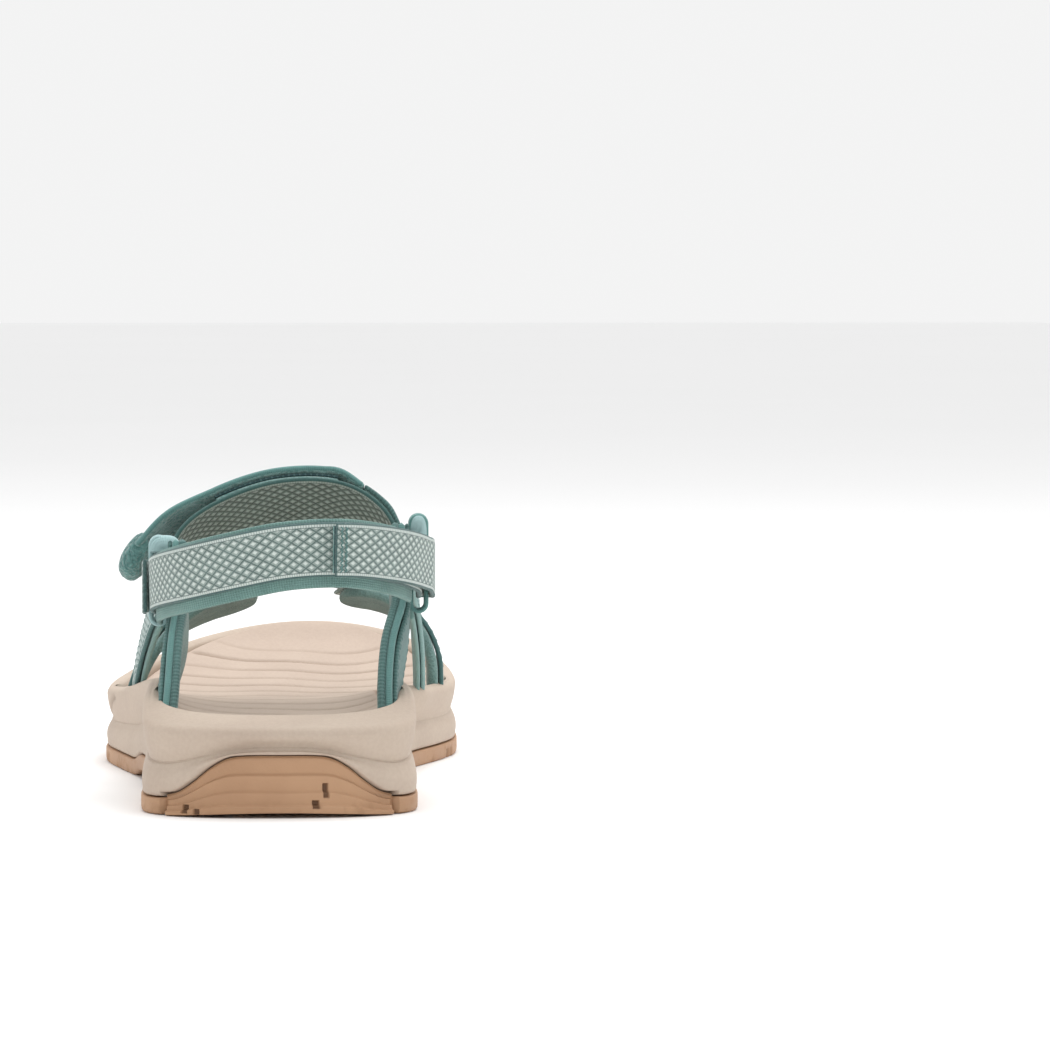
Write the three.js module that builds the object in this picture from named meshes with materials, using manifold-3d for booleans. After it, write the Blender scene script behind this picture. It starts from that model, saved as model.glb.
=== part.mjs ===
// A strappy sport sandal for the left foot: a moulded sole unit and three webbing straps, each closed
// by hook and loop. Millimetres. The heel's back is at y = 0 and the toe points along +Y, the inner
// (medial) side is +X, the outer (lateral) side is -X, and the sole stands on z = 0. At the end the whole
// group is moved so that the middle of its footprint is the origin.
//
// Shapes are drawn for one base size and graded, as a last maker grades a pattern: y goes with the sole's
// length, x with the width at the heel and at the ball. Thicknesses, webbing widths and clearances are not
// graded.

import * as THREE from "three";
import { mergeVertices } from "three/addons/utils/BufferGeometryUtils.js";
import Module from "manifold-3d";

const wasm = await Module();
wasm.setup();

// ---------------------------------------------------------------- driving dimensions

const SOLE_LENGTH = 263;
const HEEL_WIDTH = 76;
const BALL_WIDTH = 106;
const BASE_SIZE = { length: 263, heelWidth: 76, ballWidth: 106 };

const GAP = 0.3; // between pieces that are cemented or sewn together
const RUNNING = 0.8; // between pieces that slide past each other

const RIM_WALL = 5.5; // the midsole's wall round the footbed
const COLLAR_DEPTH = 16; // the wide part of that wall, behind the heel
const OUTSOLE_THICKNESS = 4.6;
const OUTSOLE_PROUD = 0.4; // how far the rubber stands out past the midsole's wall
const GROOVE = { width: 3.2, depth: 2.4 };
const FOOTBED_THICKNESS = 5;
const BOARD_THICKNESS = 1.2;
const SHANK = { width: 18, thickness: 1.6, from: 62, to: 136 };
const HEEL_PANEL = { topWidth: 30, footWidth: 68, top: 16.8, foot: 4.5, shoulder: 7, proud: 0.6, depth: 2 };
const ARCH = { lift: 2.6, rises: [70, 84], falls: [108, 124] }; // the waist of the sole stays off the ground
const TOE_SPRING = { rise: 15, from: 182, power: 1.9 };
const HEEL_BEVEL = { rise: 2, length: 14 };

const WEB_THICKNESS = 1.4;
const HEEL_WEB_WIDTH = 15;
const INSTEP_WEB_WIDTH = 20;
const VAMP_WEB_WIDTH = 20;
const LEG_WEB_WIDTH = 14;
const POST_WEB_WIDTH = 17;
const LINING_THICKNESS = 1.5;
const POST_PAD_THICKNESS = 4;
const VAMP_PAD_THICKNESS = 3;
const PAD_MARGIN = 2; // how far a pad shows beyond its webbing on each side
const PATCH_THICKNESS = 0.9; // hook tape and loop tape
const PATCH_MARGIN = 2; // how much narrower a patch is than its strap
const FLAP_THICKNESS = 1.8;
const TAB_THICKNESS = 6.4;

const RING_WALL = 0.9;
const RING_LENGTH = 6;
const LATERAL_RING = { bottom: 48.5, top: 73.5 };
const MEDIAL_RING = { bottom: 52, top: 79.5 };
const PIVOT = { along: 65, up: 61 }; // the heel strap swings about an axis through both rings
const LATERAL_ANKLE = 30; // inner face of the quarters' webbing at the ankle, from the centre line
const MEDIAL_ANKLE = 35.5;

// ---------------------------------------------------------------- grading

const lengthGrade = SOLE_LENGTH / BASE_SIZE.length;
const heelGrade = HEEL_WIDTH / BASE_SIZE.heelWidth;
const ballGrade = BALL_WIDTH / BASE_SIZE.ballWidth;

// Width grows from the heel's grade to the ball's between these two places on the base size.
function widthGrade(y) {
  return THREE.MathUtils.lerp(heelGrade, ballGrade, THREE.MathUtils.smoothstep(y, 90, 150));
}

const graded = (x, y, z) => new THREE.Vector3(x * widthGrade(y), y * lengthGrade, z);

// The quarters' inner face at the ankle in this size, and the base-size x that grading brings to a real x.
const lateralAnkle = LATERAL_ANKLE * heelGrade;
const medialAnkle = MEDIAL_ANKLE * heelGrade;
const baseX = (x) => x / heelGrade;

// ---------------------------------------------------------------- curves

// A smooth function through rows of [where, value], by cubic Hermite spans.
function through(rows) {
  const slope = (i) => {
    const a = rows[Math.max(i - 1, 0)];
    const b = rows[Math.min(i + 1, rows.length - 1)];
    return (b[1] - a[1]) / (b[0] - a[0]);
  };
  return (where) => {
    const w = THREE.MathUtils.clamp(where, rows[0][0], rows.at(-1)[0]);
    const i = Math.min(rows.findIndex((row) => w < row[0]) - 1, rows.length - 2);
    const k = i < 0 ? rows.length - 2 : i;
    const [x0, y0] = rows[k];
    const [x1, y1] = rows[k + 1];
    const span = x1 - x0;
    const t = (w - x0) / span;
    const rise = (t * t) * (3 - 2 * t);
    const lead = t * (1 - t) * (1 - t) * span * slope(k);
    const trail = t * t * (t - 1) * span * slope(k + 1);
    return y0 + (y1 - y0) * rise + lead + trail;
  };
}

// The outline, as [y, x] on the base size, before its two ends are rounded off.
const lateralEdge = through([
  [0, -37], [30, -38], [60, -37.5], [90, -38], [115, -41.5], [140, -47], [162, -51.5],
  [180, -51.8], [198, -49], [218, -43], [240, -31], [263, -20],
]);
const medialEdge = through([
  [0, 37], [30, 38], [60, 37], [90, 34.5], [115, 34.5], [140, 40], [162, 48],
  [180, 53], [198, 54.2], [218, 52], [240, 45], [263, 40],
]);

// Heights along the sole, as [y, z] on the base size.
const rimHeight = through([
  [0, 25], [20, 27], [45, 30], [80, 31.5], [110, 29], [140, 24.5], [165, 21.5],
  [190, 22.5], [215, 25.5], [240, 31], [263, 37],
]);
const footbedHeight = through([
  [14, 22.5], [40, 20.5], [70, 22], [100, 24], [125, 22.5], [150, 19], [175, 17.6],
  [200, 19], [225, 23.2], [245, 28.6], [263, 33],
]);

const TOE_AXIS = 10; // the toe's tip lies this far to the medial side
const HEEL_ROUND = { reach: 24, power: 2.5 };
const TOE_ROUND = { reach: 27, power: 2 };

// 0 at an end of the outline and 1 once past its rounded stretch, along a superellipse.
function roundOff(distance, { reach, power }) {
  const left = THREE.MathUtils.clamp(1 - distance / reach, 0, 1);
  return (1 - left ** power) ** (1 / power);
}

// The sole's two edges at y, moved inwards by the given distances.
function edgesAt(y, { side = 0, heel = side, toe = side } = {}) {
  const heelShare = roundOff(y - heel, HEEL_ROUND);
  const toeShare = roundOff(BASE_SIZE.length - toe - y, TOE_ROUND);
  const axis = y > BASE_SIZE.length / 2 ? TOE_AXIS : 0;
  const share = Math.min(heelShare, toeShare);
  const pull = (x, inwards) => (axis + (x - axis) * share) * widthGrade(y) + inwards * share;
  return { lateral: pull(lateralEdge(y), side), medial: pull(medialEdge(y), -side) };
}

// Height of the tread's underside: a bevel at the heel, a raised waist and a toe that turns up.
function groundAt(y) {
  const { smoothstep } = THREE.MathUtils;
  const bevel = HEEL_BEVEL.rise * Math.max(0, 1 - y / HEEL_BEVEL.length) ** 2;
  const waist = smoothstep(y, ...ARCH.rises) * (1 - smoothstep(y, ...ARCH.falls));
  const turned = Math.max(0, (y - TOE_SPRING.from) / (BASE_SIZE.length - TOE_SPRING.from));
  return bevel + ARCH.lift * waist + TOE_SPRING.rise * turned ** TOE_SPRING.power;
}

const floorAt = (y) => footbedHeight(y) - FOOTBED_THICKNESS - BOARD_THICKNESS - 2 * GAP;

// ---------------------------------------------------------------- solids

function solidOf(geometry) {
  const bare = new THREE.BufferGeometry();
  bare.setAttribute("position", geometry.getAttribute("position"));
  bare.setIndex(geometry.index);
  const merged = mergeVertices(bare, 1e-4);
  const mesh = new wasm.Mesh({
    numProp: 3,
    vertProperties: merged.attributes.position.array,
    triVerts: new Uint32Array(merged.index.array),
  });
  return new wasm.Manifold(mesh);
}

// Cuts a solid with a list of tools and keeps its main body, without the offcuts.
function cutBy(solid, tools) {
  const bodies = tools.reduce((rest, tool) => rest.subtract(tool), solid).decompose();
  return bodies.sort((a, b) => b.volume() - a.volume())[0];
}

function geometryOf(solid) {
  const mesh = solid.getMesh();
  const geometry = new THREE.BufferGeometry();
  geometry.setAttribute("position", new THREE.BufferAttribute(Float32Array.from(mesh.vertProperties), 3));
  geometry.setIndex(new THREE.BufferAttribute(mesh.triVerts, 1));
  return geometry;
}

// Joins closed rings of points, all of one length, into a closed skin with a flat cap at each end.
function skin(rings, capPlane) {
  const count = rings[0].length;
  const positions = rings.flat().flatMap((p) => [p.x, p.y, p.z]);
  const faces = [];
  for (let r = 0; r + 1 < rings.length; r++) {
    for (let i = 0; i < count; i++) {
      const j = (i + 1) % count;
      const [a, b, c, d] = [r * count + i, r * count + j, (r + 1) * count + j, (r + 1) * count + i];
      faces.push(a, b, c, a, c, d);
    }
  }
  const lastRing = (rings.length - 1) * count;
  for (const [a, b, c] of THREE.ShapeUtils.triangulateShape(rings[0].map(capPlane), [])) {
    faces.push(a, c, b, lastRing + a, lastRing + b, lastRing + c);
  }
  const geometry = new THREE.BufferGeometry();
  geometry.setAttribute("position", new THREE.Float32BufferAttribute(positions, 3));
  geometry.setIndex(faces);
  const solid = solidOf(geometry);
  if (solid.volume() > 0) return solid;
  for (let i = 0; i < faces.length; i += 3) [faces[i + 1], faces[i + 2]] = [faces[i + 2], faces[i + 1]];
  geometry.setIndex(faces);
  return solidOf(geometry);
}

const ACROSS = [-1, -0.96, -0.88, -0.72, -0.4, 0, 0.4, 0.72, 0.88, 0.96, 1];
const STATION_COUNT = 28;
const EVEN_TO_CROWDED = 0.85; // stations are even at 0, and crowd towards both ends at 1

// A slab lofted along the sole. top and bottom give z at (y, v), where v runs from -1 at the lateral edge
// to 1 at the medial edge.
function slab({ from, to, edges, top, bottom, count = STATION_COUNT }) {
  const rings = [];
  for (let i = 0; i <= count; i++) {
    const t = i / count;
    const closerAtEnds = (1 - Math.cos(Math.PI * t)) / 2;
    const y = THREE.MathUtils.lerp(from, to, THREE.MathUtils.lerp(t, closerAtEnds, EVEN_TO_CROWDED));
    const { lateral, medial } = edges(y);
    const place = (v, height) => {
      const x = THREE.MathUtils.lerp(lateral, medial, (v + 1) / 2);
      return new THREE.Vector3(x, y * lengthGrade, height(y, v));
    };
    const below = ACROSS.map((v) => place(v, bottom));
    const above = ACROSS.map((v) => place(v, top)).reverse();
    rings.push([...below, ...above]);
  }
  return skin(rings, (p) => new THREE.Vector2(p.x, p.z));
}

// The place and directions of a strap at a stop number, which may lie between stops. Stops are rows of
// [x, y, z, outward x, outward y, outward z], joined by a Catmull-Rom curve.
function follow(stops) {
  const vectors = (start) => stops.map((s) => new THREE.Vector3(s[start], s[start + 1], s[start + 2]));
  const route = new THREE.CatmullRomCurve3(vectors(0), false, "catmullrom");
  const facing = new THREE.CatmullRomCurve3(vectors(3), false, "catmullrom");
  return (stop) => {
    const t = stop / (stops.length - 1);
    const ahead = route.getTangent(t);
    const aside = new THREE.Vector3().crossVectors(ahead, facing.getPoint(t)).normalize();
    const outward = new THREE.Vector3().crossVectors(aside, ahead).normalize();
    return { centre: route.getPoint(t), ahead, aside, outward };
  };
}

// A strap: a flat band swept along its stops. Its inner and outer faces lie at those distances from the
// route, along the outward direction. It covers the whole route, or the stretch between two of its stops.
// round gives the last end a half-round outline, and grow makes the same band larger all round, as a tool
// for the slot it goes through.
function band(stops, { width, inner, outer, between, steps = 4, round = false, grow = 0 }) {
  const [first, last] = between ?? [0, stops.length - 1];
  const count = (last - first) * steps;
  const places = Array.from({ length: count + 1 }, (_, i) => first + i / steps).map(follow(stops));
  const travelled = [0];
  for (let i = 1; i <= count; i++) {
    travelled.push(travelled[i - 1] + places[i].centre.distanceTo(places[i - 1].centre));
  }
  const half = width / 2;
  const narrowing = (distance) => Math.max(0.3, Math.sqrt(1 - Math.max(0, 1 - distance / half) ** 2));
  const rings = places.map(({ centre, ahead, aside, outward }, i) => {
    const end = i === 0 ? -grow : i === count ? grow : 0;
    const reach = (round ? half * narrowing(travelled[count] - travelled[i]) : half) + grow;
    const middle = centre.clone().addScaledVector(ahead, end);
    const corner = (side, lift) =>
      middle.clone().addScaledVector(aside, side * reach).addScaledVector(outward, lift);
    const [low, high] = [inner - grow, outer + grow];
    return [corner(-1, low), corner(1, low), corner(1, high), corner(-1, high)];
  });
  const [p, q, , s] = rings[0];
  const right = q.clone().sub(p).normalize();
  const up = s.clone().sub(p).normalize();
  const across = (point, direction) => point.clone().sub(p).dot(direction);
  return skin(rings, (point) => new THREE.Vector2(across(point, right), across(point, up)));
}

// Graded stops from rows of [x, y, z, outward x, outward y, outward z] on the base size.
const stopsOf = (rows) => rows.map(([x, y, z, ...outward]) => [...graded(x, y, z).toArray(), ...outward]);

// One stop of a layer that lies at a distance outside a route.
function lifted(stops, distance) {
  const at = follow(stops);
  return (stop) => {
    const { centre, outward } = at(stop);
    return [...centre.addScaledVector(outward, distance).toArray(), ...outward.toArray()];
  };
}

// The stops of such a layer, every quarter of the way between the route's own.
function traced(stops, [first, last], distance) {
  const count = Math.abs(last - first) * 4;
  const numbers = Array.from({ length: count + 1 }, (_, i) => THREE.MathUtils.lerp(first, last, i / count));
  return numbers.map(lifted(stops, distance));
}

// ---------------------------------------------------------------- the sole

const HEEL_CUT = 0.2; // the outline's two ends are flat this far in from the tips
const along = (inset) => ({ from: inset + HEEL_CUT, to: BASE_SIZE.length - inset - HEEL_CUT });
const outline = (side) => (y) => edgesAt(y, { side });
const bedHeel = (inset) => COLLAR_DEPTH + inset - RIM_WALL;
const bedOutline = (inset) => (y) => edgesAt(y, { side: inset, heel: bedHeel(inset), toe: inset });
const bedAlong = (inset) => ({
  from: bedHeel(inset) + HEEL_CUT,
  to: BASE_SIZE.length - inset - HEEL_CUT,
});

const outsoleTop = (y) => groundAt(y) + OUTSOLE_THICKNESS;
const HIGH = 60; // above everything in the sole, for tools that cut right through

function heelPanel(grow) {
  const { topWidth, footWidth, shoulder, proud, depth } = HEEL_PANEL;
  const half = (footWidth / 2) * heelGrade + grow;
  const flat = (topWidth / 2) * heelGrade + grow;
  const top = HEEL_PANEL.top + grow;
  const foot = HEEL_PANEL.foot + grow;
  const shape = new THREE.Shape();
  shape.moveTo(-half, 0);
  shape.lineTo(half, 0);
  shape.lineTo(half, foot);
  shape.bezierCurveTo(half - shoulder, foot + 1, flat + shoulder, top, flat, top);
  shape.lineTo(-flat, top);
  shape.bezierCurveTo(-flat - shoulder, top, -half + shoulder, foot + 1, -half, foot);
  const prism = new THREE.ExtrudeGeometry(shape, { depth: HIGH, bevelEnabled: false, curveSegments: 8 });
  prism.rotateX(Math.PI / 2);
  prism.translate(0, HIGH / 2, 0);
  const shell = (inset) => slab({
    from: HEEL_CUT + inset,
    to: HIGH,
    edges: (y) => edgesAt(y, { side: inset }),
    top: () => HIGH,
    bottom: () => -HIGH,
  });
  return solidOf(prism).intersect(shell(-proud).subtract(shell(depth + grow)));
}

function treadGroove(y) {
  const box = new THREE.BoxGeometry(2 * BALL_WIDTH, GROOVE.width, 2 * GROOVE.depth);
  box.translate(0, y * lengthGrade, groundAt(y));
  return solidOf(box);
}

const HEEL_GROOVES = [22, 36, 50, 64];
const FOREFOOT_GROOVES = [126, 140, 154, 168, 182, 196, 211, 227, 243];

function outsole() {
  const tread = slab({
    ...along(-OUTSOLE_PROUD),
    edges: outline(-OUTSOLE_PROUD),
    top: outsoleTop,
    bottom: groundAt,
  });
  const grooves = [...HEEL_GROOVES, ...FOREFOOT_GROOVES].map(treadGroove);
  return cutBy(tread, grooves).add(heelPanel(0));
}

function midsole(slots) {
  const block = slab({ ...along(0), edges: outline(0), top: rimHeight, bottom: (y) => outsoleTop(y) + GAP });
  const bed = slab({ ...bedAlong(RIM_WALL), edges: bedOutline(RIM_WALL), top: () => HIGH, bottom: floorAt });
  return cutBy(block, [bed, heelPanel(GAP), shankBlank(GAP), ...slots]);
}

function footbed(slots) {
  const inset = RIM_WALL + GAP;
  const cup = (y, v) => footbedHeight(y) + 2.2 * Math.abs(v) ** 3;
  const bed = slab({
    ...bedAlong(inset),
    edges: bedOutline(inset),
    top: cup,
    bottom: (y) => footbedHeight(y) - FOOTBED_THICKNESS,
  });
  return cutBy(bed, slots);
}

function lastingBoard(slots) {
  const inset = RIM_WALL + GAP + 1;
  const top = (y) => footbedHeight(y) - FOOTBED_THICKNESS - GAP;
  const bottom = (y) => top(y) - BOARD_THICKNESS;
  const board = slab({ ...bedAlong(inset), edges: bedOutline(inset), top, bottom, count: 18 });
  return cutBy(board, slots);
}

// The shank lies in a pocket in the midsole's floor, under the waist.
function shankBlank(grow) {
  const { width, thickness, from, to } = SHANK;
  const half = width / 2 + grow;
  return slab({
    from: from - grow,
    to: to + grow,
    edges: () => ({ lateral: -half, medial: half }),
    top: (y) => floorAt(y) - GAP + (grow > 0 ? 2 * GAP : 0),
    bottom: (y) => floorAt(y) - GAP - thickness - grow,
    count: 10,
  });
}

// ---------------------------------------------------------------- strap routes

// Each route is the inner face of a webbing, in rows of [x, y, z, outward x, outward y, outward z]. A strap that
// goes into the sole starts as a tail cemented under the lasting board and rises between footbed and rim.
const under = (y) => floorAt(y) - GAP;

const LATERAL_POST = stopsOf([
  [-15, 34, under(34), 0, 0, -1],
  [-25, 34, under(34), -0.1, 0, -1],
  [-32, 35, 17.5, -0.9, 0, -0.4],
  [-32.7, 37.5, 24, -1, -0.05, 0],
  [-32, 46, 37, -1, -0.1, 0],
  [-LATERAL_ANKLE, 55.5, 47.5, -1, 0, 0],
  [-LATERAL_ANKLE, 62, 59, -1, 0, 0],
  [-LATERAL_ANKLE, 66, 70, -1, 0, 0],
]);
const MEDIAL_POST = stopsOf([
  [15, 34, under(34), 0, 0, -1],
  [24.5, 34, under(34), 0.1, 0, -1],
  [31, 35, 17.5, 0.9, 0, -0.4],
  [31.8, 37.5, 24, 1, -0.05, 0],
  [33, 46.5, 38, 1, -0.1, 0],
  [MEDIAL_ANKLE, 56, 50, 1, 0, 0],
  [MEDIAL_ANKLE, 62, 62, 1, 0, 0],
  [MEDIAL_ANKLE, 66, 75, 1, 0, 0],
]);
const legFace = (ankle) => ankle + WEB_THICKNESS + GAP;
const LATERAL_LEG = stopsOf([
  [-24, 145, under(145), 0, 0, -1],
  [-35, 145, under(145), -0.1, 0, -1],
  [-41.6, 143, 17.5, -0.95, 0, -0.3],
  [-41.9, 138, 25, -1, 0, 0],
  [-40, 126, 36, -1, 0, 0.1],
  [-36.6, 109, 48, -1, 0, 0.1],
  [-33.2, 94, 57.5, -1, 0, 0],
  [-baseX(legFace(lateralAnkle)), 81, 64, -1, 0, 0],
]);
const MEDIAL_LEG = stopsOf([
  [22, 159, under(159), 0, 0, -1],
  [34, 159, under(159), 0.1, 0, -1],
  [41.4, 158, 17.5, 0.95, 0, -0.3],
  [42, 153, 25.5, 1, 0, 0],
  [41.4, 137, 37.5, 1, 0, 0.1],
  [40, 116, 50, 1, 0, 0.1],
  [38.4, 97, 60, 1, 0, 0],
  [baseX(legFace(medialAnkle)), 82, 68, 1, 0, 0],
]);
const LATERAL_VAMP = stopsOf([
  [-28, 165, under(165), 0, 0, -1],
  [-39, 165, under(165), -0.1, 0, -1],
  [-44.6, 165, 15.5, -0.9, 0, -0.4],
  [-44.4, 165, 22, -1, 0, 0.2],
  [-40.6, 165.5, 31.5, -0.9, 0, 0.4],
  [-33, 166.5, 40.6, -0.7, 0.1, 0.7],
  [-20.8, 168, 47.8, -0.4, 0.25, 0.88],
  [-7, 170, 51.2, -0.1, 0.3, 0.95],
]);
const MEDIAL_VAMP = stopsOf([
  [30, 181, under(181), 0, 0, -1],
  [41, 181, under(181), 0.1, 0, -1],
  [47.8, 181, 15.5, 0.9, 0, -0.4],
  [48.5, 181, 22.5, 1, 0, 0.1],
  [47.6, 180.5, 32, 0.95, 0, 0.3],
  [42, 178.5, 41.5, 0.8, 0.1, 0.6],
  [31.5, 176, 48.6, 0.5, 0.25, 0.8],
  [19, 173.5, 51.6, 0.15, 0.3, 0.95],
]);
const INSTEP_TUCK = 0.4; // the instep webbing's ends lie this far inside the front quarters
const INSTEP = stopsOf([
  [-LATERAL_ANKLE + INSTEP_TUCK, 86, 53, -1, 0, 0],
  [-LATERAL_ANKLE + INSTEP_TUCK, 87, 62, -1, 0, 0.05],
  [-26.5, 89, 69.5, -0.85, 0.35, 0.4],
  [-16, 91.5, 76, -0.45, 0.6, 0.66],
  [0, 93, 80.8, -0.12, 0.7, 0.7],
  [16, 93, 80.8, 0.2, 0.7, 0.7],
  [27, 91.5, 75.5, 0.6, 0.55, 0.6],
  [MEDIAL_ANKLE - INSTEP_TUCK - 1, 89, 66.5, 1, 0.05, 0.1],
  [MEDIAL_ANKLE - INSTEP_TUCK, 88, 57, 1, 0, 0],
]);

// ---------------------------------------------------------------- quarters

// Layers on a route, as distances from the webbing's inner face.
const WEB = { inner: 0, outer: WEB_THICKNESS };
const layerInside = (thickness) => ({ inner: -GAP - thickness, outer: -GAP });
const layerOutside = (below, thickness) => ({ inner: below + GAP, outer: below + GAP + thickness });

const IN_SLOT = 2.5; // a lining starts halfway between two stops, inside its slot, and has no tail

function webAndLining(route, width, liningThickness, liningEnd = route.length - 1, steps = 4) {
  const web = { stops: route, width, steps, ...WEB };
  const lining = {
    stops: route,
    steps,
    between: [IN_SLOT, liningEnd],
    width: width + 2 * PAD_MARGIN,
    ...layerInside(liningThickness),
  };
  return { web, lining };
}

const lateralPost = webAndLining(LATERAL_POST, POST_WEB_WIDTH, POST_PAD_THICKNESS, 7, 6);
const medialPost = webAndLining(MEDIAL_POST, POST_WEB_WIDTH, POST_PAD_THICKNESS, 7, 6);
const lateralLeg = webAndLining(LATERAL_LEG, LEG_WEB_WIDTH, LINING_THICKNESS, 5.5);
const medialLeg = webAndLining(MEDIAL_LEG, LEG_WEB_WIDTH, LINING_THICKNESS, 5.5);
const lateralVamp = webAndLining(LATERAL_VAMP, VAMP_WEB_WIDTH, VAMP_PAD_THICKNESS, 7, 10);
const medialVamp = webAndLining(MEDIAL_VAMP, VAMP_WEB_WIDTH, VAMP_PAD_THICKNESS, 7, 10);
const rooted = [lateralPost, medialPost, lateralLeg, medialLeg, lateralVamp, medialVamp];

const solidBand = ({ stops, ...rest }) => band(stops, rest);
const slots = rooted.flatMap(({ web, lining }) => [
  solidBand({ ...web, grow: GAP }),
  solidBand({ ...lining, grow: GAP }),
]);

// A tape loop sewn to the outer face of a quarter: the heel strap runs through it along the sole.
function ankleRing(side, ankle, { bottom, top }) {
  const inner = ankle + WEB_THICKNESS + GAP;
  const window = WEB_THICKNESS + 2 * RUNNING;
  const outer = inner + window + 2 * RING_WALL;
  const cornered = (x0, x1, z0, z1) => {
    const shape = new THREE.Shape();
    const r = (x1 - x0) / 2.2;
    shape.moveTo(x0, z0 + r);
    shape.absarc(x0 + r, z0 + r, r, Math.PI, 1.5 * Math.PI);
    shape.absarc(x1 - r, z0 + r, r, 1.5 * Math.PI, 2 * Math.PI);
    shape.absarc(x1 - r, z1 - r, r, 0, 0.5 * Math.PI);
    shape.absarc(x0 + r, z1 - r, r, 0.5 * Math.PI, Math.PI);
    shape.closePath();
    return shape;
  };
  const loop = cornered(inner, outer, bottom, top);
  const w = RING_WALL;
  loop.holes.push(cornered(inner + w, outer - w, bottom + w, top - w));
  const ring = new THREE.ExtrudeGeometry(loop, { depth: RING_LENGTH, bevelEnabled: false, curveSegments: 4 });
  ring.rotateX(Math.PI / 2);
  ring.translate(0, PIVOT.along * lengthGrade + RING_LENGTH / 2, 0);
  if (side < 0) ring.rotateZ(Math.PI).translate(0, 2 * PIVOT.along * lengthGrade, 0);
  return solidOf(ring);
}

// Distance from the centre line to the inner face of the heel webbing inside a ring, and outside that ring.
const throughRing = (ankle) => legFace(ankle) + RING_WALL + RUNNING;
const overRing = (ankle) => throughRing(ankle) + WEB_THICKNESS + 2 * RUNNING + RING_WALL;

// ---------------------------------------------------------------- heel strap

const LATERAL_THROUGH = baseX(throughRing(lateralAnkle));
const LATERAL_FOLD = baseX(overRing(lateralAnkle) + WEB_THICKNESS);
const MEDIAL_THROUGH = baseX(throughRing(medialAnkle));
const MEDIAL_OVER = baseX(overRing(medialAnkle));
const TURN = PIVOT.along + RING_LENGTH / 2; // the webbing turns round a ring's outer bar past here
const TURN_ROOM = 6; // room for the turn to tilt past the bar when the strap swings

const HEEL_BACK = [
  [-34.3, 53, 59.8, -1, 0, 0],
  [-34.9, 45, 61.3, -0.98, -0.2, 0],
  [-32.4, 34, 63.2, -0.9, -0.45, 0],
  [-26, 21.5, 65.6, -0.65, -0.75, 0],
  [-13, 12, 69.2, -0.25, -0.97, 0],
  [2, 9.9, 72.2, 0.05, -1, 0],
  [18, 12.4, 72.8, 0.35, -0.93, 0],
  [31, 25, 70.3, 0.75, -0.65, 0],
  [38, 43, 66.6, 0.97, -0.25, 0],
];
const HEEL = stopsOf([
  [-38.3, 48, 60.6, 1, 0.05, 0],
  [-LATERAL_FOLD, 58, 59.4, 1, 0, 0],
  [-LATERAL_FOLD, TURN + 2, 59, 1, 0, 0],
  [-(LATERAL_FOLD + LATERAL_THROUGH) / 2, TURN + TURN_ROOM, 59, 0, -1, 0],
  [-LATERAL_THROUGH, TURN + 2, 59, -1, 0, 0],
  [-LATERAL_THROUGH, 59.5, 59.2, -1, 0, 0],
  ...HEEL_BACK,
  [MEDIAL_THROUGH, 56, 64, 1, 0, 0],
  [MEDIAL_THROUGH, TURN + 2, 63, 1, 0, 0],
]);
const HEEL_FLAP_LIFT = WEB_THICKNESS + 2 * PATCH_THICKNESS + 3 * GAP;
const FLAP_START = 11.75; // the stops of the heel strap between which the flap lies on it
const FLAP_END = 14;
const HEEL_FLAP = [
  ...traced(HEEL, [FLAP_START, FLAP_END], HEEL_FLAP_LIFT),
  ...stopsOf([
    [MEDIAL_OVER, 57, 64, 1, 0, 0],
    [MEDIAL_OVER, TURN + 2, 63, 1, 0, 0],
  ]),
];
const heelPatch = (layer) =>
  band(HEEL, { between: [FLAP_START, FLAP_END], width: HEEL_WEB_WIDTH - PATCH_MARGIN, ...layer });

// ---------------------------------------------------------------- instep and vamp closures

const LOOP_PATCH = layerOutside(WEB_THICKNESS, PATCH_THICKNESS);
const HOOK_PATCH = layerOutside(LOOP_PATCH.outer, PATCH_THICKNESS);
const FLAP_LIFT = HOOK_PATCH.outer + GAP;
const SEWN_LIFT = WEB_THICKNESS + GAP;

const INSTEP_FLAP = [
  lifted(INSTEP, SEWN_LIFT)(5.5),
  ...traced(INSTEP, [5, 3], FLAP_LIFT),
  ...stopsOf([
    [-30.5, 92, 73.4, -0.75, 0.45, 0.5],
    [-38, 93, 67.8, -0.85, 0.3, 0.4],
  ]),
];
const instepPatch = (layer) =>
  band(INSTEP, { between: [3, 5], width: INSTEP_WEB_WIDTH - PATCH_MARGIN, ...layer });
const PULL_TAB = stopsOf([
  [-38.8, 93.1, 66.9, -0.86, 0.28, 0.4],
  [-41, 93.5, 64, -0.92, 0.2, 0.25],
  [-42, 94, 59, -0.98, 0.15, 0.1],
]);

const vampPatch = (layer) =>
  band(LATERAL_VAMP, { between: [5, 7], steps: 8, width: VAMP_WEB_WIDTH - PATCH_MARGIN, ...layer });
const VAMP_BRIDGE = stopsOf([[6, 172.6, 56, 0, 0.3, 0.95]]);
const VAMP_FLAP = [
  ...traced(MEDIAL_VAMP, [6, 7], SEWN_LIFT + 0.3),
  ...VAMP_BRIDGE,
  ...traced(LATERAL_VAMP, [7, 5], FLAP_LIFT),
];

// ---------------------------------------------------------------- materials and assembly

const finish = (color, roughness) => new THREE.MeshStandardMaterial({ color, roughness });
const RUBBER = finish(0xd6a878, 0.75);
const FOAM = finish(0xcdbba8, 0.8);
const FOOTBED_FOAM = finish(0xeddccb, 0.85);
const BOARD = finish(0xb8a88e, 0.9);
const NYLON = finish(0x3a3c3e, 0.5);
const JACQUARD = finish(0x8c9a99, 0.85);
const TEAL_WEB = finish(0x57776f, 0.85);
const LIGHT_WEB = finish(0x7b9f9b, 0.85);
const LINING = finish(0x6b7a6d, 0.95);
const TAPE = finish(0xabc7c8, 0.6);
const PILE = finish(0x97b7b3, 0.95);
const HOOK = finish(0x527f83, 0.7);

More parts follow.
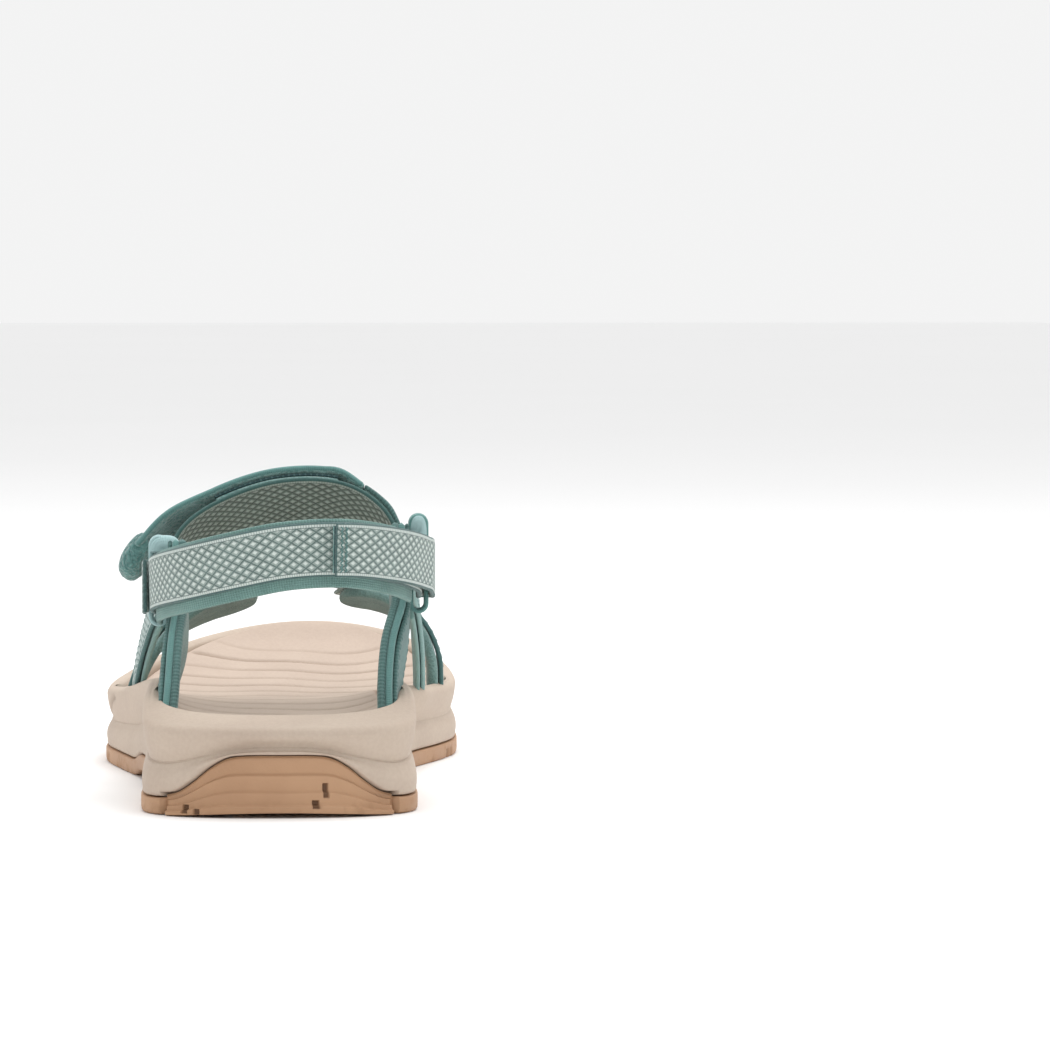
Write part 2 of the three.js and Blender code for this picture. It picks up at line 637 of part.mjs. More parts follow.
const sandal = new THREE.Group();

function addPiece(name, solid, material) {
  const mesh = new THREE.Mesh(geometryOf(solid), material);
  mesh.name = name;
  sandal.add(mesh);
}

addPiece("outsole", outsole(), RUBBER);
addPiece("midsole", midsole(slots), FOAM);
addPiece("footbed", footbed(slots), FOOTBED_FOAM);
addPiece("lasting_board", lastingBoard(slots), BOARD);
addPiece("shank", shankBlank(0), NYLON);

addPiece("lateral_rear_quarter_webbing", solidBand(lateralPost.web), TEAL_WEB);
addPiece("medial_rear_quarter_webbing", solidBand(medialPost.web), TEAL_WEB);
addPiece("lateral_rear_quarter_pad", solidBand(lateralPost.lining), LINING);
addPiece("medial_rear_quarter_pad", solidBand(medialPost.lining), LINING);
addPiece("lateral_front_quarter_webbing", solidBand(lateralLeg.web), JACQUARD);
addPiece("medial_front_quarter_webbing", solidBand(medialLeg.web), LIGHT_WEB);
addPiece("lateral_front_quarter_lining", solidBand(lateralLeg.lining), LINING);
addPiece("medial_front_quarter_lining", solidBand(medialLeg.lining), LINING);
addPiece("lateral_ankle_ring", ankleRing(-1, lateralAnkle, LATERAL_RING), TAPE);
addPiece("medial_ankle_ring", ankleRing(1, medialAnkle, MEDIAL_RING), TAPE);

addPiece("lateral_vamp_webbing", solidBand(lateralVamp.web), JACQUARD);
addPiece("medial_vamp_webbing", solidBand(medialVamp.web), JACQUARD);
addPiece("lateral_vamp_pad", solidBand({ ...lateralVamp.lining, round: true }), LINING);
addPiece("medial_vamp_pad", solidBand({ ...medialVamp.lining, round: true }), LINING);
addPiece("vamp_loop_patch", vampPatch(LOOP_PATCH), PILE);
addPiece("vamp_hook_patch", vampPatch(HOOK_PATCH), HOOK);
addPiece("vamp_flap", band(VAMP_FLAP, {
  width: VAMP_WEB_WIDTH,
  steps: 2,
  inner: 0,
  outer: FLAP_THICKNESS,
  round: true,
}), JACQUARD);

addPiece("instep_webbing", band(INSTEP, { width: INSTEP_WEB_WIDTH, ...WEB }), JACQUARD);
addPiece("instep_loop_patch", instepPatch(LOOP_PATCH), PILE);
addPiece("instep_hook_patch", instepPatch(HOOK_PATCH), HOOK);
addPiece("instep_flap", band(INSTEP_FLAP, {
  width: INSTEP_WEB_WIDTH,
  steps: 2,
  inner: 0,
  outer: FLAP_THICKNESS,
}), PILE);
addPiece("instep_pull_tab", band(PULL_TAB, {
  width: INSTEP_WEB_WIDTH - 2,
  inner: (FLAP_THICKNESS - TAB_THICKNESS) / 2,
  outer: (FLAP_THICKNESS + TAB_THICKNESS) / 2,
  round: true,
}), HOOK);

addPiece("heel_webbing", band(HEEL, { width: HEEL_WEB_WIDTH, ...WEB }), JACQUARD);
addPiece("heel_lining", band(HEEL.map(([x, y, z, ...outward]) => [x, y, z - 1.2, ...outward]), {
  between: [6, FLAP_END],
  width: HEEL_WEB_WIDTH + 2 * PAD_MARGIN,
  ...layerInside(LINING_THICKNESS),
}), TEAL_WEB);
addPiece("heel_loop_patch", heelPatch(LOOP_PATCH), PILE);
addPiece("heel_hook_patch", heelPatch(HOOK_PATCH), HOOK);
addPiece("heel_flap", band(HEEL_FLAP, { width: HEEL_WEB_WIDTH, steps: 2, ...WEB }), JACQUARD);

const box = new THREE.Box3().setFromObject(sandal);
sandal.position.set(-(box.min.x + box.max.x) / 2, -(box.min.y + box.max.y) / 2, -box.min.z);

export default sandal;
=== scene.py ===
# %% [markdown]
# # A strappy sport sandal
# The sandal has a moulded foam sole on a thin rubber tread, and webbing straps that close with hook and
# loop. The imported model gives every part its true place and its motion. Each cell below makes one kind of
# surface or one finish as it is on the real sandal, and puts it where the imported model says.

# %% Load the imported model
from math import radians
import bmesh
import bpy
import numpy as np
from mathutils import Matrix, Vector


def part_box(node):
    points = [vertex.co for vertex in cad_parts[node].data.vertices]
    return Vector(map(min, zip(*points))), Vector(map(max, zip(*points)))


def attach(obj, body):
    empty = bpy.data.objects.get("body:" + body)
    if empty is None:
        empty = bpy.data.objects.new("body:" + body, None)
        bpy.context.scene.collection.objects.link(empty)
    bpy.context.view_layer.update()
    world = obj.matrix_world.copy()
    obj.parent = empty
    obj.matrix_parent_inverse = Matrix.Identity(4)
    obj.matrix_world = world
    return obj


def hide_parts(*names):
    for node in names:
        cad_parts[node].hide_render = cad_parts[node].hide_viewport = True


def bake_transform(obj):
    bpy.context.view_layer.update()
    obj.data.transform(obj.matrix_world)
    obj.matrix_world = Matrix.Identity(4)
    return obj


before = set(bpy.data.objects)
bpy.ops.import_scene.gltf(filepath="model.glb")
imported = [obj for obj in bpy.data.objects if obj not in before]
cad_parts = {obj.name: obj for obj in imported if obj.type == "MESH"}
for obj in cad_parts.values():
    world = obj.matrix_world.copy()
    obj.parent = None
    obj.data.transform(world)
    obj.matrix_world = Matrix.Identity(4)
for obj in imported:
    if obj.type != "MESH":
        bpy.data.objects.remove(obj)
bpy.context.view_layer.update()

# %% [markdown]
# ## The maker's drawing
# Shapes are drawn in millimetres from the back of the heel: x across, positive towards the inner side of
# this left foot, y towards the toes, z up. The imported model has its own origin, in metres. Two of its
# pieces give the step between them: the shank lies on the centre line, and the midsole starts at the heel.

# %% From drawing millimetres to metres
HEEL_CUT = 0.2
shank_low, shank_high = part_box("shank")
midsole_low, midsole_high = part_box("midsole")
ORIGIN = np.array([(shank_low.x + shank_high.x) / 2, midsole_low.y - HEEL_CUT / 1000, 0.0])


def metres(points):
    """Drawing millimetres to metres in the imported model's frame: divide by 1000, then add the origin."""
    return np.asarray(points, float) / 1000 + ORIGIN


print("the drawing's origin is at", ORIGIN.round(5))

# %% [markdown]
# ## The camera and the light
# The sandal is seen from straight behind and a little above, through a long lens, so its sides hardly
# converge. A large soft panel above and a bright room give the even light of a studio on a pale floor. A
# weak panel behind the camera fills, and a plain card there keeps the room's low light off the heel.

# %% Camera
CAMERA_AT = (0, -1500, 160)
CAMERA_LENS = 189
SENSOR_WIDTH = 36
CAMERA_TURN = radians(2.56)
CAMERA_DIP = radians(3.05)
camera_data = bpy.data.cameras.new("camera")
camera_data.lens = CAMERA_LENS
camera_data.sensor_width = SENSOR_WIDTH
camera_data.clip_start = 0.05
camera_data.clip_end = 20
camera = bpy.data.objects.new("camera", camera_data)
camera.location = metres(CAMERA_AT)
camera.rotation_euler = (radians(90) - CAMERA_DIP, 0, -CAMERA_TURN)
bpy.context.scene.collection.objects.link(camera)
bpy.context.scene.camera = camera
print("lens", CAMERA_LENS, "mm at", [round(c, 3) for c in camera.location])

# %% Light
ROOM_BRIGHTNESS = 0.9
scene = bpy.context.scene
scene.view_settings.view_transform = "Standard"
world = bpy.data.worlds.new("bright room")
world.use_nodes = True
background = world.node_tree.nodes["Background"]
background.inputs["Color"].default_value = (1, 1, 1, 1)
background.inputs["Strength"].default_value = ROOM_BRIGHTNESS
scene.world = world


def soft_panel(name, place, size, power):
    """A square area light at a place in metres, turned to face the sandal. power is in watts."""
    data = bpy.data.lights.new(name, "AREA")
    data.shape = "SQUARE"
    data.size = size
    data.energy = power
    panel = bpy.data.objects.new(name, data)
    panel.location = place
    panel.rotation_euler = (-Vector(place)).to_track_quat("-Z", "Y").to_euler()
    scene.collection.objects.link(panel)


soft_panel("panel above", (0.15, 0.25, 1.3), 1.0, 13)
soft_panel("panel behind the camera", (-0.7, -1.5, 0.9), 1.2, 0.5)


def stage_card(name, corners):
    """A flat card between four corners in metres. It is part of the room, not of the sandal."""
    mesh = bpy.data.meshes.new(name)
    mesh.from_pydata(corners, [], [(0, 1, 2, 3)])
    card = bpy.data.objects.new(name, mesh)
    scene.collection.objects.link(card)
    return card


low_card = stage_card("dark card", [(-3, -2.2, 0.01), (3, -2.2, 0.01), (3, -2.2, 2.4), (-3, -2.2, 2.4)])
low_card.visible_camera = False
print("two soft panels, a bright room and a plain card behind the camera")

# %% [markdown]
# ## Shader maths as Python
# A finish is a network of nodes. Wrapping each socket in a small class with operators lets a pattern be
# written as a formula, and every other node is made by one method that takes its settings and its values.

# %% Shader helpers
class Wire:
    """One output socket. Arithmetic on it adds Math nodes."""

    def __init__(self, tree, socket):
        self.tree = tree
        self.socket = socket

    def node(self, kind, settings=None, out=0, **values):
        """Adds a node: its settings first, then a value or a link for each named socket."""
        made = self.tree.nodes.new(kind)
        for name, value in (settings or {}).items():
            setattr(made, name, value)
        for name, value in values.items():
            socket = made.inputs[int(name[1:]) if name[1:].isdigit() else name]
            if isinstance(value, Wire):
                self.tree.links.new(value.socket, socket)
            else:
                socket.default_value = value
        return Wire(self.tree, made.outputs[out])

    def math(self, operation, *values):
        """A Math node. Sockets without a name of their own are i0, i1 and so on."""
        numbered = {f"i{k}": value for k, value in enumerate(values)}
        return self.node("ShaderNodeMath", {"operation": operation}, **numbered)

    def __add__(self, other):
        return self.math("ADD", self, other)

    def __sub__(self, other):
        return self.math("SUBTRACT", self, other)

    def __mul__(self, other):
        return self.math("MULTIPLY", self, other)

    def __truediv__(self, other):
        return self.math("DIVIDE", self, other)

    def fract(self):
        return self.math("FRACT", self)

    def abs(self):
        return self.math("ABSOLUTE", self)

    def sine(self):
        return self.math("SINE", self)

    def most(self, other):
        return self.math("MAXIMUM", self, other)

    def between(self, low, high):
        """0 below low, 1 above high and a smooth rise between; the other way round if low is above high."""
        settings = {"interpolation_type": "SMOOTHSTEP"}
        rising = low < high
        values = {"From Min": min(low, high), "From Max": max(low, high)}
        values |= {"To Min": 0.0 if rising else 1.0, "To Max": 1.0 if rising else 0.0}
        return self.node("ShaderNodeMapRange", settings, Value=self, **values)

    def blend(self, low, high):
        """A colour from low, where this is 0, to high, where it is 1. Both are colours or wires."""
        settings = {"data_type": "RGBA"}
        return self.node("ShaderNodeMix", settings, out=2, i0=self, i6=low, i7=high)


def colour(red, green, blue):
    """A screen colour from 0 to 255 a channel, as the linear colour that a shader takes."""
    share = np.array([red, green, blue]) / 255
    linear = np.where(share > 0.04045, ((share + 0.055) / 1.055) ** 2.4, share / 12.92)
    return (*linear.tolist(), 1.0)


def finish(name, paint, **constants):
    """A new material. paint gets a wire to start from and returns what varies.

    "Height" is a pair, the height and its depth in metres. The constants are set on the shader itself."""
    material = bpy.data.materials.new(name)
    material.use_nodes = True
    tree = material.node_tree
    surface = tree.nodes["Principled BSDF"]
    for socket, value in constants.items():
        surface.inputs[socket.replace("_", " ")].default_value = value
    start = Wire(tree, None)
    for socket, wire in paint(start).items():
        if socket == "Height":
            wire, depth = wire
            bump = start.node("ShaderNodeBump", None, Height=wire, Distance=depth, Strength=1.0)
            tree.links.new(bump.socket, surface.inputs["Normal"])
        else:
            tree.links.new(wire.socket, surface.inputs[socket])
    return material


def place_on(start):
    """The place on the object, as a vector in metres."""
    return start.node("ShaderNodeTexCoord", out=3)


def noise(start, vector, scale, detail=2.0):
    """Smooth noise from about 0 to 1, with that many bumps to the metre."""
    return start.node("ShaderNodeTexNoise", None, Vector=vector, Scale=scale, Detail=detail)


print("shader helpers ready")

# %% [markdown]
# ## From arrays to a mesh
# Every surface is a grid of points worked out at once with numpy. Grids that share a border are joined
# there, so a piece made of several grids is one closed skin. Each point may carry a place on the cloth,
# in millimetres along and across, and a shade from 0 to 1 that its finish reads.

# %% Making a piece
WELD = 2e-6


def shell(name, grids, material):
    """A closed mesh from grids of points, each (points, cloth places or None, shade or None).

    Neighbours in a grid make a face. Points closer than WELD become one, and normals then face outwards."""
    points, places, shades, faces = [], [], [], []
    start = 0
    for grid, cloth, shade in grids:
        rows, columns = grid.shape[:2]
        index = np.arange(rows * columns).reshape(rows, columns) + start
        corners = [index[:-1, :-1], index[1:, :-1], index[1:, 1:], index[:-1, 1:]]
        faces.append(np.stack(corners, axis=-1).reshape(-1, 4))
        points.append(metres(grid).reshape(-1, 3))
        places.append(np.zeros((rows * columns, 2)) if cloth is None else cloth.reshape(-1, 2))
        shades.append(np.broadcast_to(0.0 if shade is None else shade, (rows, columns)).ravel())
        start += rows * columns
    faces = np.concatenate(faces)
    mesh = bpy.data.meshes.new(name)
    mesh.from_pydata(np.concatenate(points).tolist(), [], faces.tolist())
    cloth = mesh.uv_layers.new(name="cloth")
    cloth.data.foreach_set("uv", np.concatenate(places)[faces.ravel()].ravel().astype(np.float32))
    shade = mesh.attributes.new("shade", "FLOAT", "POINT")
    shade.data.foreach_set("value", np.concatenate(shades).astype(np.float32))
    work = bmesh.new()
    work.from_mesh(mesh)
    bmesh.ops.remove_doubles(work, verts=work.verts, dist=WELD)
    bmesh.ops.dissolve_degenerate(work, edges=work.edges, dist=WELD / 2)
    bmesh.ops.recalc_face_normals(work, faces=work.faces)
    if work.calc_volume(signed=True) < 0:
        bmesh.ops.reverse_faces(work, faces=work.faces)
    work.to_mesh(mesh)
    work.free()
    mesh.polygons.foreach_set("use_smooth", np.ones(len(mesh.polygons), bool))
    mesh.materials.append(material)
    made = bpy.data.objects.new(name, mesh)
    scene.collection.objects.link(made)
    return made


BODY = "sole_and_quarters"


def place(piece, slot, nodes=(), body=BODY):
    """Puts a piece on its body and hides the plain solids that it stands for. The slot is not used."""
    if body:
        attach(piece, body)
    if nodes:
        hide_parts(*nodes)
    print(f"{piece.name}: {len(piece.data.polygons)} faces")
    return piece


# %% [markdown]
# ## The sole's outline and heights
# A sole is drawn as two edges, one on each side, as smooth curves through a few measured places. The two
# ends are rounded off by a superellipse. Everything in the sole is this outline, moved inwards and set at a
# height, so its parts follow one another as they do on the real sandal.

# %% Curves of the sole
SOLE_LENGTH = 263
TOE_AXIS = 10
TREAD = 4.6
GAP = 0.3


def through(rows):
    """A smooth curve through rows of (where, value).

    Each span is a cubic, and the slope at a row is that of the line between its two neighbours."""
    where, value = np.array(rows, float).T
    count = len(where)
    before, after = np.maximum(np.arange(count) - 1, 0), np.minimum(np.arange(count) + 1, count - 1)
    slope = (value[after] - value[before]) / (where[after] - where[before])

    def curve(at):
        at = np.clip(at, where[0], where[-1])
        k = np.clip(np.searchsorted(where, at, side="right") - 1, 0, count - 2)
        span = where[k + 1] - where[k]
        t = (at - where[k]) / span
        rise = value[k] + (value[k + 1] - value[k]) * t * t * (3 - 2 * t)
        return rise + t * (1 - t) ** 2 * span * slope[k] + t * t * (t - 1) * span * slope[k + 1]

    return curve


def ramp(at, low, high):
    """0 at low, 1 at high, and a smooth rise between."""
    t = np.clip((at - low) / (high - low), 0, 1)
    return t * t * (3 - 2 * t)


def bell(at, middle, width):
    """A smooth hump, 1 at the middle and nearly 0 beyond the width."""
    return np.exp(-((at - middle) / (0.6 * width)) ** 2)


lateral_edge = through([
    (0, -37), (30, -38), (60, -37.5), (90, -38), (115, -41.5), (140, -47), (162, -51.5),
    (180, -51.8), (198, -49), (218, -43), (240, -31), (263, -20),
])
medial_edge = through([
    (0, 37), (30, 38), (60, 37), (90, 34.5), (115, 34.5), (140, 40), (162, 48),
    (180, 53), (198, 54.2), (218, 52), (240, 45), (263, 40),
])
rim_height = through([
    (0, 24.6), (12, 25.4), (24, 27.2), (38, 30.6), (54, 32), (80, 31.5), (110, 29), (140, 24.5), (165, 22.5),
    (190, 23.2), (215, 25.5), (240, 30.6), (263, 36),
])
footbed_height = through([
    (14, 22.5), (40, 20.5), (70, 22), (100, 24), (125, 22.5), (150, 19), (175, 17.6),
    (200, 19), (225, 23.6), (245, 29.6), (263, 34.8),
])


def ground(y):
    """The tread's underside: a bevel at the heel, a waist off the ground and a toe that turns up."""
    bevel = 2 * np.maximum(0, 1 - y / 14) ** 2
    waist = 2.6 * ramp(y, 70, 84) * (1 - ramp(y, 108, 124))
    return bevel + waist + 15 * np.maximum(0, (y - 182) / (SOLE_LENGTH - 182)) ** 1.9


def outline(share_along, hand, side, heel, toe):
    """One edge of the sole, moved inwards at the side, the heel and the toe.

    share_along runs from 0 at the heel's tip to 1 at the toe's. Near a tip the half-width is the full one
    times a superellipse, so both edges end on the axis. hand is -1 for the outer edge, 1 for the inner."""
    y = heel + (SOLE_LENGTH - toe - heel) * share_along
    to_heel = np.clip(1 - (y - heel) / 24, 0, 1)
    to_toe = np.clip(1 - (SOLE_LENGTH - toe - y) / 27, 0, 1)
    share = np.minimum((1 - to_heel ** 2.5) ** (1 / 2.5), np.sqrt(1 - to_toe ** 2))
    axis = np.where(y > SOLE_LENGTH / 2, TOE_AXIS, 0)
    edge = lateral_edge(y) if hand < 0 else medial_edge(y)
    return axis + (edge - axis) * share - hand * side * share, y


STATIONS = 420
even = np.linspace(0, 1, STATIONS + 1)
crowded = (1 - np.cos(np.pi * even)) / 2
stations = 0.12 * even ** 2 * (3 - 2 * even) + 0.88 * crowded
arc = {}
for hand in (-1, 1):
    x, y = outline(stations, hand, 0, 0, 0)
    arc[hand] = np.concatenate([[0], np.cumsum(np.hypot(np.diff(x), np.diff(y)))])
print("round the outer edge", round(arc[-1][-1]), "mm, round the inner edge", round(arc[1][-1]), "mm")

# %% [markdown]
# ## The finish of the sole
# Moulded foam has a soft, slightly mottled skin with a fine bubble grain, lighter where it is handled.
# Rubber is denser and a little shinier. Both are the same all through, so the patterns are read from the
# place in space, in millimetres. Only painted shade, a darker colour where a groove or a recess lies in
# shade, is read from the mesh.

# %% Foam and rubber
def recess_shade(start):
    """The painted shade carried by the mesh: 1 in the bottom of a groove, where shade falls."""
    return start.node("ShaderNodeAttribute", {"attribute_name": "shade"}, out=2)


def foam_paint(light, dark, hollow_shade, grain_depth):
    """Foam: two close tones mottled by noise, painted shade as a darker tone in the recesses, and a bubble
    grain.
    """
    def paint(start):
        vector = place_on(start)
        mottle = noise(start, vector, 45.0, 4.0).between(0.3, 0.7)
        speck = noise(start, vector, 900.0).between(0.35, 0.65)
        tone = (mottle * 0.7 + speck * 0.3).blend(dark, light)
        grain = noise(start, vector, 1400.0, 3.0)
        pores = start.node("ShaderNodeTexVoronoi", None, Vector=vector, Scale=1900.0)
        return {
            "Base Color": recess_shade(start).blend(tone, hollow_shade),
            "Roughness": mottle * 0.12 + 0.62,
            "Height": (grain * 0.7 + pores * 0.3, grain_depth),
        }
    return paint


# The third colour of each foam is painted shade for the bottoms of its grooves and hollows.
sole_foam = finish("sole foam", foam_paint(
    colour(198, 182, 166), colour(187, 169, 153), colour(116, 94, 76), 0.00010), Specular_IOR_Level=0.35)
footbed_foam = finish("footbed foam", foam_paint(
    colour(198, 180, 165), colour(189, 170, 155), colour(152, 131, 114), 0.00012), Specular_IOR_Level=0.25)


def rubber_paint(start):
    """Rubber: peach with a slow change of tone, scuffs near the ground and painted shade in the bottoms of
    its notches and cuts.
    """
    vector = place_on(start)
    height = start.node("ShaderNodeSeparateXYZ", None, out=2, Vector=vector) * 1000
    drift = noise(start, vector, 30.0, 3.0).between(0.3, 0.7)
    scuff = noise(start, vector, 260.0, 5.0).between(0.52, 0.7) * height.between(7.0, 0.5)
    tone = drift.blend(colour(172, 133, 101), colour(188, 149, 116))
    worn = (scuff * 0.5).blend(tone, colour(160, 124, 94))
    return {
        # Painted shade: where the mesh's shade is 1, in notches and cuts, the colour is this dark brown.
        "Base Color": recess_shade(start).blend(worn, colour(104, 74, 50)),
        "Roughness": drift * 0.1 + scuff * 0.2 + 0.5,
        "Height": (noise(start, vector, 1100.0, 3.0), 0.00008),
    }


tread_rubber = finish("tread rubber", rubber_paint, Specular_IOR_Level=0.4)
print("finishes:", sole_foam.name, footbed_foam.name, tread_rubber.name)

# %% [markdown]
# ## The midsole
# The midsole is one foam moulding: an outer wall with a fold line round it, a wide collar behind the heel,
# raised ears outside the ankle straps, hollows where the straps go in, and a pocket at the back for the
# rubber heel panel. It could be a subdivided box cut by booleans. A profile carried round the outline is
# better here, because each row of points can lie exactly on an edge: the fold, the rim, the panel's top.

# %% The heel panel's outline and the wall's profile
PANEL_REACH = 34.4
panel_top = through([(0, 16.8), (10, 16.7), (15, 16.0), (20, 13.4), (25, 9.6), (30, 6.6), (36, 5.2)])
# For each side: where along the foot a strap goes in, how wide its hollow is and how deep.
STRAP_SLOTS = {
    -1: [(36, 9, 1.5), (142, 9, 2.0), (165, 12, 2.6)],
    1: [(36, 9, 1.5), (154, 10, 2.6), (181, 12, 2.6)],
}
SWELL = 1.8  # how far the rim swells outside the inner front strap
LEAN = 2.6  # how far the wall leans in from the ground to the fold
POCKET_DEPTH = 2.4
S_GROOVE = {"start": 150, "end": 172, "top": 20.5, "bottom": 12.5}


def fold_share(s):
    """How far up the wall the fold line runs: 0.45, and 0.7 in the middle of the heel."""
    return 0.45 + 0.25 * (1 - ramp(s, 4, 37))


def wall_rows(hand):
    """The rows of the midsole's wall on one side, each (inset, height) for every station."""
    s = arc[hand]
    y = outline(stations, hand, 0, 0, 0)[1]
    foot = ground(y) + TREAD + GAP
    rim = rim_height(y)
    in_panel = 1 - ramp(s, PANEL_REACH + 0.1, PANEL_REACH + 0.8)
    line = np.where(s < PANEL_REACH + 1, np.maximum(panel_top(s) + 0.45, foot + 1.2), foot + 1.2)
    pocket = POCKET_DEPTH * in_panel
    fold = foot + (rim - foot) * fold_share(s)
    fold_depth = 0.7 - 0.35 * ramp(y, 90, 150)
    rows = [(np.full_like(s, 1.2), foot), (0.3 + pocket, foot + 0.25), (pocket, foot + 0.9)]
    rows += [(pocket, foot + 0.9 + (line - foot - 0.9) * k) for k in (0.33, 0.66, 1)]
    rows += [(0.35 * in_panel, line + 0.05), (0.1 * in_panel, line + 0.25), (0 * s, line + 0.5)]
    low, high = line + 0.5, fold - 0.9
    rows += [(LEAN * (k - 0.5) * k, low + (high - low) * k) for k in np.linspace(0.1, 1, 8)]
    rows += [(fold_depth * d + LEAN * 0.5, fold + dz) for dz, d in
             ((-0.45, 0.05), (-0.2, 0.45), (0, 1.0), (0.2, 0.95), (0.5, 0.6), (0.9, 0.5))]
    low, high = fold + 0.9, rim - 2.2
    rows += [((fold_depth * 0.5 + LEAN * 0.5) * (1 - k) - 0.25 * np.sin(np.pi * k), low + (high - low) * k)
             for k in np.linspace(0.08, 1, 12)]
    return rows, y


def s_groove(y, z):
    """A slim S-shaped groove on the outer wall of the forefoot: 1 on its line, fading in 0.9 mm."""
    t = (y - S_GROOVE["start"]) / (S_GROOVE["end"] - S_GROOVE["start"])
    line = S_GROOVE["bottom"] + (S_GROOVE["top"] - S_GROOVE["bottom"]) * ramp(t, 1, 0)
    return np.exp(-((z - line) / 0.9) ** 2) * ramp(t, -0.1, 0.1) * ramp(t, 1.15, 0.95)


print("panel top", panel_top(np.array([0, 20, 34])).round(1))

# %% The midsole's skin
RIM_ROUND = 2.2
RIM_WALL = 5.5
COLLAR = 16


def midsole_side(hand):
    """One side of the midsole: from under its edge up the wall, over the rim and down to the bed's floor."""
    rows, y0 = wall_rows(hand)
    slots = sum(depth * bell(y0, middle, width) for middle, width, depth in STRAP_SLOTS[hand])
    swell = SWELL * bell(y0, 147, 14) * (hand > 0)
    points, shades = [], []
    for inset, z in rows:
        if hand < 0:
            inset = inset + 0.6 * s_groove(y0, z)
        inset = inset - swell * ramp(z, 12, 21)
        x, y = outline(stations, hand, inset, inset, inset)
        points.append(np.stack([x, y, z], axis=-1))
        # Painted shade: the colour darkens along the outer S groove.
        shades.append(0.45 * s_groove(y0, z) * (hand < 0))
    # Painted shade: the pocket's rows behind the heel panel's edge take the foam's dark hollow colour.
    pocket_shade = 0.9 * (1 - ramp(arc[hand], PANEL_REACH + 0.1, PANEL_REACH + 0.8))
    for k in range(1, 6):
        shades[k] = pocket_shade
    for angle in np.radians([20, 40, 60, 80]):
        inset = RIM_ROUND * (1 - np.cos(angle)) * 0.9 - swell
        x, y = outline(stations, hand, inset, inset, inset)
        points.append(np.stack([x, y, rim_height(y) - RIM_ROUND * (1 - np.sin(angle))], axis=-1))
        shades.append(0 * x)
    for k in np.linspace(0, 1, 12):
        side = 2 + (RIM_WALL - 2.9) * k
        heel = 2 + (COLLAR - 4.5) * k
        x, y = outline(stations, hand, side - swell * (1 - k) - slots * k ** 1.5, heel, side)
        collar = (1.5 * k ** 1.6) * (1 - ramp(y0, 8, 30))
        dish = 0.35 * np.sin(np.pi * k)
        points.append(np.stack([x, y, rim_height(y) + collar + dish], axis=-1))
        shades.append(0 * x)
    lip = points[-1][:, 2]
    floor = footbed_height(np.maximum(y0, 14)) - 6.8
    for k in np.linspace(0.12, 1, 9):
        turn = min(k * 3, 1)
        side = 2 + RIM_WALL - 2.9 + 0.9 * np.sin(turn * np.pi / 2)
        heel = 2 + COLLAR - 4.5 + 2.4 * np.sin(turn * np.pi / 2)
        x, y = outline(stations, hand, side - slots, heel, side)
        z = lip + (floor - lip) * k ** 1.6
        points.append(np.stack([x, y, z], axis=-1))
        shades.append(0 * x)
    return np.array(points), np.array(shades)


def bridge(outer, inner, columns):
    """A grid of straight lines across from one edge to the other."""
    across = np.linspace(0, 1, columns)[:, None, None]
    return outer * (1 - across) + inner * across


outer_side, outer_shade = midsole_side(-1)
inner_side, inner_shade = midsole_side(1)
midsole = shell("midsole_foam", [
    (outer_side, None, outer_shade),
    (inner_side, None, inner_shade),
    (bridge(outer_side[0], inner_side[0], 3), None, None),
    (bridge(outer_side[-1], inner_side[-1], 3), None, None),
], sole_foam)
place(midsole, "midsole_foam", ["midsole"])

# %% [markdown]
# ## The footbed
# The footbed is a softer sheet of foam that lies in the midsole, cupped at its sides, with shallow wavy
# grooves across it for grip. The grooves are real steps in the mesh: a wave is added to the distance along
# the foot, and the surface dips wherever that sum passes a whole number of spacings.

# %% The footbed's skin
GROOVE_SPACING = 9.2
GROOVE_DEPTH = 0.75
BED_ACROSS = 80


def bed_wave(x, y):
    """How far a groove strays from a straight line: two slow waves, and an S-bend along the heel."""
    bend = 4.2 * np.tanh(x / 9) * np.exp(-((y - 62) / 60) ** 2)
    return 2.2 * np.sin(x / 13 + y / 37) + 0.9 * np.sin(x / 5.3 - y / 23 + 1.2) + bend


def bed_groove(x, y):
    """1 along the middle of a groove and 0 between grooves."""
    phase = (y + bed_wave(x, y)) / GROOVE_SPACING
    distance = np.abs(phase - np.round(phase)) * GROOVE_SPACING
    strength = 0.55 + 0.45 * np.sin(2.1 * np.round(phase) + x / 19)
    return np.exp(-(distance / 0.75) ** 2) * (0.45 + 0.55 * strength)


side = RIM_WALL - GAP
heel = COLLAR - GAP
bed_x0, bed_y = outline(stations, -1, side, heel, side)
bed_x1 = outline(stations, 1, side, heel, side)[0]
v = np.sin(np.pi / 2 * np.linspace(-1, 1, BED_ACROSS + 1))
bed_x = bed_x0[:, None] + (bed_x1 - bed_x0)[:, None] * (v + 1) / 2
bed_yy = np.broadcast_to(bed_y[:, None], bed_x.shape)
edge = np.sqrt(np.clip(1 - np.clip((np.abs(v) - 0.93) / 0.07, 0, 1) ** 2, 0, 1))
inner_fade = ramp(1 - np.abs(v), 0.02, 0.12)
ends = np.clip(np.minimum(bed_y - bed_y[0], bed_y[-1] - bed_y) / 1.2, 0, 1)
half = 2.5 * edge * np.sqrt(1 - (1 - ends[:, None]) ** 2)
groove = bed_groove(bed_x, bed_yy) * inner_fade * ramp(bed_yy, 17, 22) * ramp(bed_yy, 246, 234)
cup = 1 - (1 - np.abs(v) ** 3) * (1 - ramp(bed_yy, bed_y[-1] - 16, bed_y[-1] - 0.5) ** 2)
middle = footbed_height(bed_yy) - 2.5 + 2.6 * cup + 1.6 * np.abs(v) ** 6 * (1 - ramp(bed_yy, 70, 110))
bed_top = np.stack([bed_x, bed_yy, middle + half - GROOVE_DEPTH * groove * (half > 1)], axis=-1)
